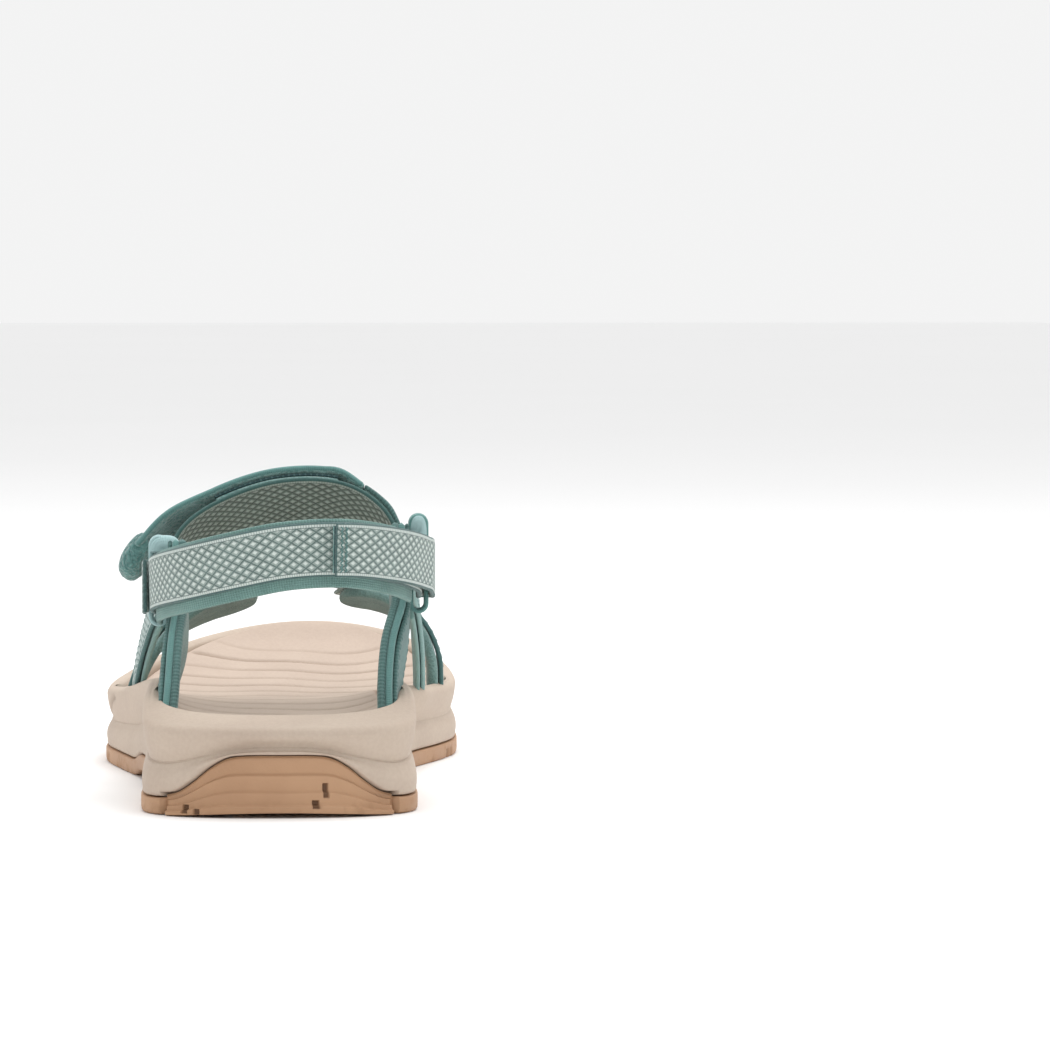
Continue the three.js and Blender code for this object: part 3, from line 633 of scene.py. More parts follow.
bed_under = np.stack([bed_x, bed_yy, middle - half], axis=-1)
# Painted shade: the grooves take the footbed's darker hollow colour, 0.75 at their middle.
footbed = shell("footbed_foam", [(bed_top, None, groove * 0.75), (bed_under, None, None)], footbed_foam)
place(footbed, "footbed_foam", ["footbed"])

# %% [markdown]
# ## The tread
# Under the foam is a thin rubber tread. Its side shows as a peach band with small notches, and its
# underside is cut into lugs. The lugs are a grid across the sole whose height is the ground's height plus
# a groove wherever a point is close to one of the cross cuts or to one of the two channels along the sole.

# %% The tread's skin
CUT_DEPTH = 2.4
CROSS_CUTS = np.array([22, 36, 50, 64, 126, 140, 154, 168, 182, 196, 211, 227, 243])
SIDE_NOTCHES = {-1: np.array([158, 163, 190, 199, 226]), 1: np.array([171, 175, 194, 205, 228])}


def tread_side(hand):
    """The tread's edge on one side, as rows of (inset, share of the tread's thickness)."""
    y0 = outline(stations, hand, 0, 0, 0)[1]
    notch = np.abs(y0[:, None] - SIDE_NOTCHES[hand]).min(axis=1)
    notch = 1 - ramp(notch, 0.7, 1.2)
    behind = 1 - ramp(arc[hand], PANEL_REACH - 0.4, PANEL_REACH + 0.2)
    points, shades = [], []
    for inset, share, cut in ((3, 1, 0), (0.3, 1, 0), (-0.2, 0.97, 0), (-0.4, 0.88, 0), (-0.4, 0.62, 0.2),
                              (-0.4, 0.55, 1), (-0.4, 0.3, 1), (-0.3, 0.14, 1), (0, 0.04, 1), (0.5, 0, 1)):
        deep = inset + 1.3 * notch * cut + 1.9 * behind
        x, y = outline(stations, hand, deep, deep, deep)
        points.append(np.stack([x, y, ground(y0) + TREAD * share], axis=-1))
        # Painted shade: the cut part of each side notch is darkened in the colour.
        shades.append(notch * cut * 0.9)
    return np.array(points), np.array(shades)


outer_band, outer_notch_shade = tread_side(-1)
inner_band, inner_notch_shade = tread_side(1)
under_grid = bridge(outer_band[-1], inner_band[-1], 90)
ux, uy = under_grid[..., 0], under_grid[..., 1]
to_cut = np.abs((uy + 1.8 * np.sin(ux / 6.5))[..., None] - CROSS_CUTS).min(axis=-1)
to_channel = np.abs(np.abs(ux - TOE_AXIS * 0.3) - 17 - 3 * np.sin(uy / 12))
border = np.minimum(np.abs(ux - outer_band[-1][:, 0]), np.abs(ux - inner_band[-1][:, 0]))
lug_cut = np.maximum(1 - ramp(to_cut, 1.1, 1.8), (1 - ramp(to_channel, 0.8, 1.5)) * (np.abs(uy - 96) > 26))
lug_cut = lug_cut * ramp(border, 0.5, 2.5)
under_grid[..., 2] += CUT_DEPTH * lug_cut
tread = shell("tread_rubber", [
    (outer_band, None, outer_notch_shade),
    (inner_band, None, inner_notch_shade),
    (bridge(outer_band[0], inner_band[0], 3), None, None),
    # Painted shade: the lug cuts are darkened in the colour.
    (under_grid, None, lug_cut * 0.45),
], tread_rubber)
place(tread, "tread_rubber", ["outsole"])

# %% [markdown]
# ## The heel panel
# At the back the rubber climbs the heel as a panel with a flat top and S-curved shoulders. Shallow steps
# run across it like layers, and a few small square notches are moulded in. Its front is a grid: one way
# along the heel's outline, the other way from the ground to the panel's top. A second grid is its back, and
# four strips join the two.

# %% The heel panel's skin
PANEL_COLUMNS = 420
PANEL_ROWS = 96
STEP = 0.9
# Each notch: how far across, its bottom and top, and its width.
NOTCHES = [
    (13, 5.6, 9.2, 1.1), (10, 2.7, 4.6, 1.5), (-26, 1.2, 3.2, 1.2),
    (-22.6, 1.0, 2.2, 1.2), (33.4, 0.4, 2, 0.8),
]


def on_outline(s, inset):
    """Points on the heel's outline at arc lengths s, positive towards the inner side, moved in by inset."""
    both = []
    for hand in (-1, 1):
        x, y = outline(stations, hand, inset, inset, inset)
        both.append((np.interp(np.abs(s), arc[hand], x), np.interp(np.abs(s), arc[hand], y)))
    return np.where(s < 0, both[0][0], both[1][0]), np.where(s < 0, both[0][1], both[1][1])


def soft_border(count, margin):
    """Shares from 0 to 1, closer together near both ends."""
    t = np.linspace(0, 1, count)
    return (1 - margin) * t + margin * (1 - np.cos(np.pi * t)) / 2


ps = (soft_border(PANEL_COLUMNS, 0.3) * 2 - 1)[:, None] * PANEL_REACH
pf = soft_border(PANEL_ROWS, 0.4)[None, :]
ps = np.broadcast_to(ps, (PANEL_COLUMNS, PANEL_ROWS))
px, py = on_outline(ps, -0.6)
top = panel_top(np.abs(ps))
arch = 1.1 * np.exp(-(ps / 24) ** 2)
base = ground(py) * 0.35 + arch * 0.6
pz = base + (top - base) * pf
crest = top - 3.2 * np.cos(np.clip(ps / 34, -1, 1) * np.pi / 2) * (1 - pf)
high = pz / (crest + 0.01)
steps = sum(STEP * ramp(high, level + 0.03, level - 0.02) * (1 - ramp(np.abs(ps), 32, 34.2))
            for level in (0.74, 0.47, 0.24))
notched = np.zeros_like(pz)
for across, low, up, wide in NOTCHES:
    inside = (1 - ramp(np.abs(px - across), wide / 2, wide / 2 + 0.35))
    notched = np.maximum(notched, inside * ramp(pz, low - 0.3, low) * (1 - ramp(pz, up, up + 0.3)))
to_edge = np.minimum.reduce([(top - pz), (PANEL_REACH - np.abs(ps)), (pz - base) + 0.5])
roll = 0.9 * (1 - np.sqrt(1 - (1 - np.clip(to_edge / 0.9, 0, 1)) ** 2))
px, py = on_outline(ps, 0)
inwards = np.stack(on_outline(ps, 6.0), axis=-1) - np.stack([px, py], axis=-1)
inwards /= np.maximum(np.linalg.norm(inwards, axis=-1, keepdims=True), 1e-6)
depth = (-1.1 + roll + 0.9 * notched + 3 * STEP - steps)[..., None]
front = np.stack([px, py], axis=-1) + inwards * depth
back = np.stack([px, py], axis=-1) + inwards * 2.0
panel_front = np.concatenate([front, pz[..., None]], axis=-1)
panel_back = np.concatenate([back, pz[..., None]], axis=-1)
# Painted shade: the moulded notches are darkened in the colour.
side_shade = notched * 0.95
walls = [np.stack([panel_front[0], panel_back[0]]), np.stack([panel_front[-1], panel_back[-1]]),
         np.stack([panel_front[:, 0], panel_back[:, 0]]), np.stack([panel_front[:, -1], panel_back[:, -1]])]
heel_panel = shell("heel_panel", [(panel_front, None, side_shade), (panel_back, None, None)]
                   + [(wall, None, None) for wall in walls], tread_rubber)
place(heel_panel, "tread_rubber")

# %% [markdown]
# ## Straps as pillows on a route
# A strap follows a route: rows of a place and the direction that its face looks in, joined by a
# Catmull-Rom curve. Across the route, each layer is a very flat pillow: an outer and an inner face that
# meet in a rounded edge on every side. One formula makes webbing, padding, patches, flaps and tape, and
# the distances along and across, in millimetres, are kept for the weave.

# %% Routes
class Route:
    """Samples of a route: centre, ahead, aside and outward vectors, and the distance travelled."""

    def __init__(self, centre, outward):
        step = np.gradient(centre, axis=0)
        self.centre = centre
        self.ahead = step / np.linalg.norm(step, axis=1, keepdims=True)
        aside = np.cross(self.ahead, outward)
        self.aside = aside / np.linalg.norm(aside, axis=1, keepdims=True)
        self.outward = np.cross(self.aside, self.ahead)
        gaps = np.linalg.norm(np.diff(centre, axis=0), axis=1)
        self.along = np.concatenate([[0], np.cumsum(gaps)])

    def pick(self, at):
        """The centre, the aside and the outward vector at distances along the route."""
        return [np.stack([np.interp(at, self.along, column) for column in values.T], axis=-1)
                for values in (self.centre, self.aside, self.outward)]


def on_curve(rows, stop):
    """Catmull-Rom curve through the rows at stop numbers, which may lie between stops."""
    rows = np.asarray(rows, float)
    padded = np.vstack([2 * rows[0] - rows[1], rows, 2 * rows[-1] - rows[-2]])
    k = np.clip(np.floor(stop).astype(int), 0, len(rows) - 2)
    t = (stop - k)[:, None]
    p0, p1, p2, p3 = (padded[k + n] for n in range(4))
    return 0.5 * (2 * p1 + (p2 - p0) * t + (2 * p0 - 5 * p1 + 4 * p2 - p3) * t ** 2
                  + (3 * p1 - p0 - 3 * p2 + p3) * t ** 3)


def follow(rows, first=0.0, last=None, spacing=0.9):
    """The route between two stops, sampled at even distances."""
    last = len(rows) - 1 if last is None else last
    fine = on_curve(rows, np.linspace(first, last, 2000))
    travelled = np.concatenate([[0], np.cumsum(np.linalg.norm(np.diff(fine[:, :3], axis=0), axis=1))])
    even = np.linspace(0, travelled[-1], max(int(travelled[-1] / spacing), 4) + 1)
    sampled = np.stack([np.interp(even, travelled, column) for column in fine.T], axis=-1)
    return Route(sampled[:, :3], sampled[:, 3:])


def traced(rows, first, last, distance):
    """Rows every quarter stop along a route, moved out by a distance: the route of a layer on top."""
    stops = np.linspace(first, last, int(abs(last - first) * 4) + 1)
    at = np.linspace(0, len(rows) - 1, 4001)
    fine = Route(*np.split(on_curve(rows, at), 2, axis=1))
    centre, outward = (np.stack([np.interp(stops, at, c) for c in values.T], axis=-1)
                       for values in (fine.centre, fine.outward))
    return np.hstack([centre + outward * distance, outward]).tolist()


def pillow(route, width, inner, outer, edge=None, columns=21, ends=None,
           round_end=False, closed=False, crown=0.0):
    """The two faces of a layer, each with its cloth places.

    A point is the centre, plus across times the half-width, plus the middle height, plus or minus a
    half-thickness. That falls to 0 as a quarter circle over the last part before every border: edge at the
    sides, ends at the two ends. crown lifts the middle of the outer face."""
    along = route.along
    half_thick = (outer - inner) / 2
    edge = half_thick if edge is None else edge
    ends = edge if ends is None else ends
    a = np.sin(np.pi / 2 * np.linspace(-1, 1, columns))
    length = along[-1]
    if not closed:
        shoulder = np.concatenate([[0], ends * (1 - np.cos(np.radians([25, 50, 75])))])
        between = along[(along > ends) & (along < length - ends)]
        along = np.unique(np.concatenate([shoulder, between, length - shoulder]))
        centre, aside, outward = route.pick(along)
        near = np.minimum(along, length - along)
        end_factor = np.sqrt(1 - (1 - np.clip(near / ends, 0, 1)) ** 2)
    else:
        centre, aside, outward = route.centre, route.aside, route.outward
        end_factor = np.ones_like(along)
    half = np.full_like(along, width / 2)
    if round_end:
        half = half * np.sqrt(1 - (1 - np.clip((length - along) / (width / 2) + 0.002, 0, 1)) ** 2)
    across = a[None, :] * half[:, None]
    from_edge = np.clip((half[:, None] - np.abs(across)) / edge, 0, 1)
    thick = half_thick * np.sqrt(1 - (1 - from_edge) ** 2) * end_factor[:, None]
    middle = (inner + outer) / 2
    u = np.broadcast_to(along[:, None], across.shape)
    raised = crown * (1 - a[None, :] ** 2) * end_factor[:, None]
    base = centre[:, None] + aside[:, None] * across[..., None]
    outer_face = base + outward[:, None] * (middle + thick + raised)[..., None]
    inner_face = base + outward[:, None] * (middle - thick)[..., None]
    cloth = np.stack([u, across], axis=-1)
    return [(outer_face, cloth, None), (inner_face, cloth, None)]


def tube(route, across, lift, radius, sides=8):
    """A cord laid along a route at a distance across and above it, closed to a point at both ends."""
    length = route.along[-1]
    turn = np.linspace(0, 2 * np.pi, sides + 1)
    from_end = np.minimum(route.along, length - route.along)
    size = radius * np.sqrt(1 - (1 - np.clip(from_end / radius, 0, 1)) ** 2)
    centre = route.centre + route.aside * across + route.outward * lift
    ring = route.aside[:, None] * np.cos(turn)[:, None] + route.outward[:, None] * np.sin(turn)[:, None]
    grid = centre[:, None] + ring * size[:, None, None]
    u = np.broadcast_to(route.along[:, None], grid.shape[:2])
    v = np.broadcast_to(turn * radius, grid.shape[:2])
    return [(grid, np.stack([u, v], axis=-1), None)]


def edge_cords(route, across, lift, radius, sides):
    """Two cords, one along each edge of a strap."""
    return tube(route, -across, lift, radius, sides) + tube(route, across, lift, radius, sides)


def stitches(route, across, lift, pitch, length, radius=0.19, slant=0.0, span=None):
    """A row of thread: one small closed capsule for each stitch, all worked out at once.

    slant moves alternate ends across, for a zigzag. span limits the row to part of the route."""
    first, last = span or (1.5, route.along[-1] - 1.5)
    middles = np.arange(first + length / 2, last - length / 2 + 1e-6, pitch)
    sway = slant * np.where(np.arange(len(middles)) % 2, 1, -1)
    aside, up = route.pick(middles)[1:]
    ends = [route.pick(middles + sign * length / 2)[0] + aside * (across + sign * sway)[:, None] + up * lift
            for sign in (-1, 1)]
    forward = ends[1] - ends[0]
    forward /= np.linalg.norm(forward, axis=1, keepdims=True)
    beside = np.cross(forward, up)
    share = np.array([0, 0.12, 0.5, 0.88, 1])
    girth = radius * np.array([0, 0.85, 1, 0.85, 0])
    turn = np.linspace(0, 2 * np.pi, 7)
    grids = []
    for k in range(len(middles)):
        spine = ends[0][k] + (ends[1][k] - ends[0][k]) * share[:, None]
        ring = beside[k] * np.cos(turn)[:, None] + up[k] * 0.7 * np.sin(turn)[:, None]
        grids.append((spine[:, None] + ring[None] * girth[:, None, None], None, None))
    return grids


def edge_rows(route, across, lift, pitch, length, **settings):
    """Two rows of stitches, one along each edge of a strap."""
    return sum((stitches(route, side * across, lift, pitch, length, **settings) for side in (-1, 1)), [])


print("a route, a pillow, a tube and rows of stitches are ready")

# %% [markdown]
# ## The finish of the straps
# The straps are woven from a dull teal ground with a pale figure: small rhombs in staggered rows, with a
# pale line and a dark selvedge along each edge. A woven figure follows the strap, so it is a formula of the
# distances along and across. Two sets of slanting lines cross, and a rhomb is where a point is far from the
# lines of both. The fine ribs of the weave, too small for the mesh, are bump.

# %% Woven figure
def cloth_place(start):
    """The distances along and across the strap, in millimetres."""
    uv = start.node("ShaderNodeUVMap", {"uv_map": "cloth"})
    return [start.node("ShaderNodeSeparateXYZ", None, out=k, Vector=uv) for k in range(2)]


RHOMB = (3.3, 1.22)  # its length, and the distance between rows


def edge_line(v, half_width, outer, inner, soft):
    """1 on a line along both edges of a strap, from outer to inner millimetres in from the edge."""
    return (v.abs().between(half_width - inner, half_width - inner + soft)
            * v.abs().between(half_width - outer, half_width - outer - soft))


def figured(half_width, ground_tone, dark_tone, figure, line, selvedge):
    """Figured webbing of that half-width. figure colours a rhomb, and line its middle and the edge lines."""
    def paint(start):
        vector = place_on(start)
        u, v = cloth_place(start)
        slant_up = u / RHOMB[0] + (v + 50.0) / (2 * RHOMB[1])
        slant_down = u / RHOMB[0] - (v + 50.0) / (2 * RHOMB[1])
        up_cell, down_cell = slant_up.fract() - 0.5, slant_down.fract() - 0.5
        rhomb = up_cell.abs().most(down_cell.abs()).between(0.47, 0.38)
        core = (up_cell + 0.06).abs().most((down_cell - 0.06).abs()).between(0.30, 0.16)
        thread = (u * 16.0).sine() * 0.5 + 0.5
        fade = noise(start, vector, 120.0, 3.0)
        cloth = (thread * 0.35 + fade.between(0.3, 0.7) * 0.65).blend(dark_tone, ground_tone)
        inside = v.abs().between(half_width - 1.35, half_width - 1.55)
        woven = (rhomb * inside * 0.62).blend(cloth, figure)
        woven = (core * inside).blend(woven, line)
        pale = edge_line(v, half_width, 0.5, 1.35, 0.15)
        lined = (pale * ((u * 9.0).sine() * 0.25 + 0.75)).blend(woven, line)
        rim = v.abs().between(half_width - 0.55, half_width - 0.4).most(u.between(0.5, 0.2))
        edged = rim.blend(lined, selvedge)
        rib = (u * 5.2).sine() * 0.5 + 0.5
        ribs = (rib * (v * 7.0).sine()) * 0.4 + (rhomb + core) * inside * 0.8 + pale * 0.6 + thread * 0.3
        return {
            "Base Color": edged,
            "Roughness": fade * 0.1 + 0.78 - rhomb * 0.12,
            "Height": (ribs, 0.00022),
        }
    return paint


def ribbed(light, dark, pitch=1.05, bump_depth=0.0002, line=None, half_width=0.0):
    """Plain webbing: ribs across it, split by the warp, with a little change of tone from place to place."""
    def paint(start):
        vector = place_on(start)
        u, v = cloth_place(start)
        rib = (u * (2 * np.pi / pitch)).sine() * 0.5 + 0.5
        warp = (v * (2 * np.pi / (pitch * 0.8))).sine() * 0.5 + 0.5
        fade = noise(start, vector, 90.0, 4.0).between(0.3, 0.7)
        fibre = noise(start, vector, 2600.0)
        tone = (rib * 0.3 + warp * 0.15 + fade * 0.35 + fibre * 0.2).blend(dark, light)
        if line is not None:
            tone = edge_line(v, half_width, 0.6, 1.5, 0.2).blend(tone, line)
        return {
            "Base Color": tone,
            "Roughness": fade * 0.1 + 0.75,
            "Height": (rib * 0.6 + warp * 0.4 + fibre * 0.3, bump_depth),
        }
    return paint


def napped(light, dark, scale=1500.0, bump_depth=0.0004):
    """Brushed pile or fleece: short tufts as coarse and fine noise, darker between the tufts."""
    def paint(start):
        vector = place_on(start)
        tuft = noise(start, vector, scale, 4.0).between(0.3, 0.7)
        lay = noise(start, vector, 140.0, 3.0).between(0.35, 0.65)
        return {
            "Base Color": (tuft * 0.55 + lay * 0.45).blend(dark, light),
            "Roughness": lay * 0.08 + 0.88,
            "Height": (tuft * 0.8 + lay * 0.6, bump_depth),
        }
    return paint


def hooked(start):
    """Hook tape: a dense field of small stiff hooks in rows, glossy at their tips."""
    u, v = cloth_place(start)
    dot = ((u * 4.4).sine() * (v * 4.4).sine()).between(0.1, 0.7)
    return {
        "Base Color": dot.blend(colour(48, 78, 80), colour(74, 108, 108)),
        "Roughness": dot * -0.25 + 0.7,
        "Height": (dot * 1.0, 0.0005),
    }


def cloth_finish(name, paint, sheen=0.2, spread=0.5):
    """A finish for cloth. sheen is how strong its soft light at grazing angles is, and spread how wide."""
    return finish(name, paint, Sheen_Weight=sheen, Sheen_Roughness=spread)


heel_web = cloth_finish("heel webbing", figured(
    7.5, colour(112, 134, 129), colour(88, 110, 106), colour(178, 192, 186), colour(214, 224, 219),
    colour(70, 100, 98)), 0.25, 0.4)
# The instep webbing is the same figured webbing in darker colours: painted shade, as its inner face is seen
# in shade.
shaded_instep_web = cloth_finish("instep webbing", figured(
    10.0, colour(88, 106, 98), colour(68, 86, 79), colour(136, 150, 140), colour(168, 184, 176),
    colour(62, 98, 94)), 0.2, 0.4)
front_web = cloth_finish("front webbing", figured(
    10.0, colour(118, 144, 139), colour(92, 118, 114), colour(182, 198, 192), colour(212, 223, 219),
    colour(72, 108, 106)), 0.25, 0.4)
leg_web = cloth_finish("front quarter webbing", figured(
    7.0, colour(118, 146, 142), colour(92, 120, 117), colour(182, 200, 196), colour(206, 220, 217),
    colour(70, 110, 108)), 0.25, 0.4)
teal_web = cloth_finish("teal webbing", ribbed(colour(96, 134, 130), colour(62, 94, 91)))
light_web = cloth_finish("light webbing", ribbed(
    colour(146, 180, 176), colour(104, 142, 139), line=colour(78, 118, 116), half_width=7.0))
facing_web = cloth_finish("facing webbing", ribbed(
    colour(92, 130, 126), colour(60, 92, 89), line=colour(140, 176, 172), half_width=10.0))
band_web = cloth_finish("lining band", ribbed(
    colour(128, 164, 157), colour(84, 120, 114), pitch=0.8))
pad_cloth = cloth_finish("pad cloth", napped(
    colour(124, 156, 151), colour(82, 114, 110), 1900.0, 0.0002), 0.3)
pale_binding = cloth_finish("pale binding", ribbed(
    colour(176, 206, 207), colour(146, 180, 180), 0.5, 0.0001))
teal_binding = cloth_finish("teal binding", ribbed(
    colour(112, 158, 154), colour(80, 124, 120), 0.5, 0.0001))
pile = cloth_finish("loop pile", napped(
    colour(148, 186, 181), colour(92, 138, 133), 1100.0, 0.0006), 0.5, 0.4)
tab_pile = cloth_finish("tab pile", napped(
    colour(122, 168, 163), colour(70, 116, 113), 900.0, 0.0007), 0.5, 0.4)
hooks = finish("hook tape", hooked, Specular_IOR_Level=0.5)
thread = finish("sewing thread", lambda start: {
    "Base Color": noise(start, place_on(start), 600.0).blend(colour(70, 108, 105), colour(104, 146, 142)),
}, Roughness=0.6)
print("finishes of the straps:", heel_web.name, shaded_instep_web.name, pile.name)

# %% [markdown]
# ## The parts inside the sole
# The lasting board and the shank are hidden by the footbed. Their plain solids have the right shape, so
# they stay as they are and only take a finish: pressed fibre board, and glass-filled nylon.

# %% Board and shank
def board_paint(start):
    vector = place_on(start)
    fibre = noise(start, vector, 700.0, 6.0)
    return {"Base Color": fibre.between(0.3, 0.7).blend(colour(158, 142, 116), colour(196, 182, 156)),
            "Roughness": fibre * 0.1 + 0.82, "Height": (fibre * 1.0, 0.0001)}


def nylon_paint(start):
    vector = place_on(start)
    glass = noise(start, vector, 1200.0, 5.0)
    return {"Base Color": glass.between(0.4, 0.7).blend(colour(44, 46, 49), colour(70, 72, 76)),
            "Roughness": glass * 0.2 + 0.4, "Height": (glass * 1.0, 0.00005)}


for node, made in (("lasting_board", finish("fibre board", board_paint)),
                   ("shank", finish("nylon", nylon_paint))):
    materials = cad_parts[node].data.materials
    materials.clear()
    materials.append(made)
print("board and shank keep their solids")

# %% [markdown]
# ## The routes of the straps
# Each row is a place on the inner face of the webbing and the direction that the face looks in. Straps that
# go into the sole start as a tail under the footbed.

# %% Routes from the sole
def under(y):
    """Height of the tails that are cemented under the lasting board."""
    return float(footbed_height(y)) - 7.1


LATERAL_POST = [
    (-15, 34, under(34), 0, 0, -1), (-25, 34, under(34), -0.1, 0, -1), (-32, 35, 17.5, -0.9, 0, -0.4),
    (-32.7, 37.5, 24, -1, -0.05, 0), (-32, 46, 37, -1, -0.1, 0), (-30, 55.5, 47.5, -1, 0, 0),
    (-30, 62, 59, -1, 0, 0), (-30, 66, 70, -1, 0, 0),
]
MEDIAL_POST = [
    (15, 34, under(34), 0, 0, -1), (24.5, 34, under(34), 0.1, 0, -1), (31, 35, 17.5, 0.9, 0, -0.4),
    (31.8, 37.5, 24, 1, -0.05, 0), (33, 46.5, 38, 1, -0.1, 0), (35.5, 56, 50, 1, 0, 0),
    (35.5, 62, 62, 1, 0, 0), (35.5, 66, 75, 1, 0, 0),
]
LATERAL_LEG = [
    (-24, 145, under(145), 0, 0, -1), (-35, 145, under(145), -0.1, 0, -1), (-41.6, 143, 17.5, -0.95, 0, -0.3),
    (-41.9, 138, 25, -1, 0, 0), (-40, 126, 36, -1, 0, 0.1), (-36.6, 109, 48, -1, 0, 0.1),
    (-33.2, 94, 57.5, -1, 0, 0), (-31.7, 81, 64, -1, 0, 0),
]
MEDIAL_LEG = [
    (22, 159, under(159), 0, 0, -1), (34, 159, under(159), 0.1, 0, -1), (41.4, 158, 17.5, 0.95, 0, -0.3),
    (42, 153, 25.5, 1, 0, 0), (41.4, 137, 37.5, 1, 0, 0.1), (40, 116, 50, 1, 0, 0.1),
    (38.4, 97, 60, 1, 0, 0), (37.2, 82, 68, 1, 0, 0),
]
LATERAL_VAMP = [
    (-28, 165, under(165), 0, 0, -1), (-39, 165, under(165), -0.1, 0, -1), (-44.6, 165, 15.5, -0.9, 0, -0.4),
    (-44.4, 165, 22, -1, 0, 0.2), (-40.6, 165.5, 31.5, -0.9, 0, 0.4), (-33, 166.5, 40.6, -0.7, 0.1, 0.7),
    (-20.8, 168, 47.8, -0.4, 0.25, 0.88), (-7, 170, 51.2, -0.1, 0.3, 0.95),
]
MEDIAL_VAMP = [
    (30, 181, under(181), 0, 0, -1), (41, 181, under(181), 0.1, 0, -1), (47.8, 181, 15.5, 0.9, 0, -0.4),
    (48.5, 181, 22.5, 1, 0, 0.1), (47.6, 180.5, 32, 0.95, 0, 0.3), (42, 178.5, 41.5, 0.8, 0.1, 0.6),
    (31.5, 176, 48.6, 0.5, 0.25, 0.8), (19, 173.5, 51.6, 0.15, 0.3, 0.95),
]
INSTEP = [
    (-29.6, 86, 53, -1, 0, 0), (-29.6, 87, 62, -1, 0, 0.05), (-26.5, 89, 69.5, -0.85, 0.35, 0.4),
    (-16, 91.5, 76, -0.45, 0.6, 0.66), (0, 93, 80.8, -0.12, 0.7, 0.7), (16, 93, 80.8, 0.2, 0.7, 0.7),
    (27, 91.5, 75.5, 0.6, 0.55, 0.6), (34.1, 89, 66.5, 1, 0.05, 0.1), (35.1, 88, 57, 1, 0, 0),
]
HEEL = [
    (-38.3, 48, 60.6, 1, 0.05, 0), (-38.7, 58, 59.4, 1, 0, 0), (-38.7, 70, 59, 1, 0, 0),
    (-36.05, 74, 59, 0, -1, 0), (-33.4, 70, 59, -1, 0, 0), (-33.4, 59.5, 59.2, -1, 0, 0),
    (-34.3, 53, 59.8, -1, 0, 0), (-34.9, 45, 61.3, -0.98, -0.2, 0), (-32.4, 34, 63.2, -0.9, -0.45, 0),
    (-26, 21.5, 65.6, -0.65, -0.75, 0), (-13, 12, 69.2, -0.25, -0.97, 0), (2, 9.9, 72.2, 0.05, -1, 0),
    (18, 12.4, 72.8, 0.35, -0.93, 0), (31, 25, 70.3, 0.75, -0.65, 0), (38, 43, 66.6, 0.97, -0.25, 0),
    (38.9, 56, 64, 1, 0, 0), (38.9, 70, 63, 1, 0, 0),
]
WEB = 1.4
IN_SLOT = 2.5
print("eight routes")

# %% [markdown]
# ## The ankle posts
# Each rear quarter is a post of teal webbing with a thick pad inside it. The pad's edges are bound, so from
# behind the post shows webbing, a dark seam, a pale roll and a darker roll. The pad is a pillow with a
# rounded edge and two cords laid along each side. It is narrow and sewn flat along its whole length, so its
# shape is a formula and not a simulation.

# %% Posts, pads and their bindings
def post(side, rows):
    """One rear quarter: webbing, pad, and the two bindings along the pad's edges."""
    route = follow(rows)
    web = shell(f"{side}_post_webbing", pillow(route, 17, 0, WEB), teal_web)
    place(web, "teal_webbing", [f"{side}_rear_quarter_webbing"])
    inner = follow(rows, IN_SLOT)
    pad = shell(f"{side}_post_pad", pillow(inner, 20, -4.2, -0.9, edge=1.5, columns=25, ends=2.0), pad_cloth)
    place(pad, "lining", [f"{side}_rear_quarter_pad"])
    roll = edge_cords(inner, 9.6, -0.9, 1.05, 12)
    place(shell(f"{side}_post_roll", roll, teal_binding), "lining")
    inside = edge_cords(inner, 9.7, -2.9, 1.15, 12)
    place(shell(f"{side}_post_binding", inside, teal_web), "lining")
    sewn = edge_rows(route, 7.2, WEB + 0.02, 2.9, 2.1, span=(30, route.along[-1] - 2))
    place(shell(f"{side}_post_stitching", sewn, thread), "teal_webbing")


post("lateral", LATERAL_POST)
post("medial", MEDIAL_POST)

# %% [markdown]
# ## The front quarters
# Two narrower legs run back from the ball of the foot to the ankle, lined with a thin cloth band.

# %% Front quarters
def leg(side, rows, cloth):
    """One front quarter: webbing 14 mm wide, its lining, and stitching along both edges."""
    route = follow(rows)
    place(shell(f"{side}_leg_webbing", pillow(route, 14, 0, WEB), cloth), "light_webbing",
          [f"{side}_front_quarter_webbing"])
    lining = pillow(follow(rows, IN_SLOT, 5.5), 18, -1.8, -0.3, edge=0.75)
    place(shell(f"{side}_leg_lining", lining, band_web), "lining", [f"{side}_front_quarter_lining"])
    sewn = edge_rows(route, 5.4, WEB + 0.05, 2.9, 2.1, span=(30, route.along[-1] - 2))
    place(shell(f"{side}_leg_stitching", sewn, thread), "light_webbing")


leg("lateral", LATERAL_LEG, leg_web)
leg("medial", MEDIAL_LEG, light_web)

# %% [markdown]
# ## The ankle rings
# At the top of each post a loop of tape holds the heel strap. The tape is folded to a long ring, and its
# path is a rounded rectangle: four quarter circles and the straight runs between them. More of the tape
# folds over each post's top, as a pale dome.

# %% Rings and folded tops
RING_AT = 65
TOP_RUN = (60.6, 69.4)


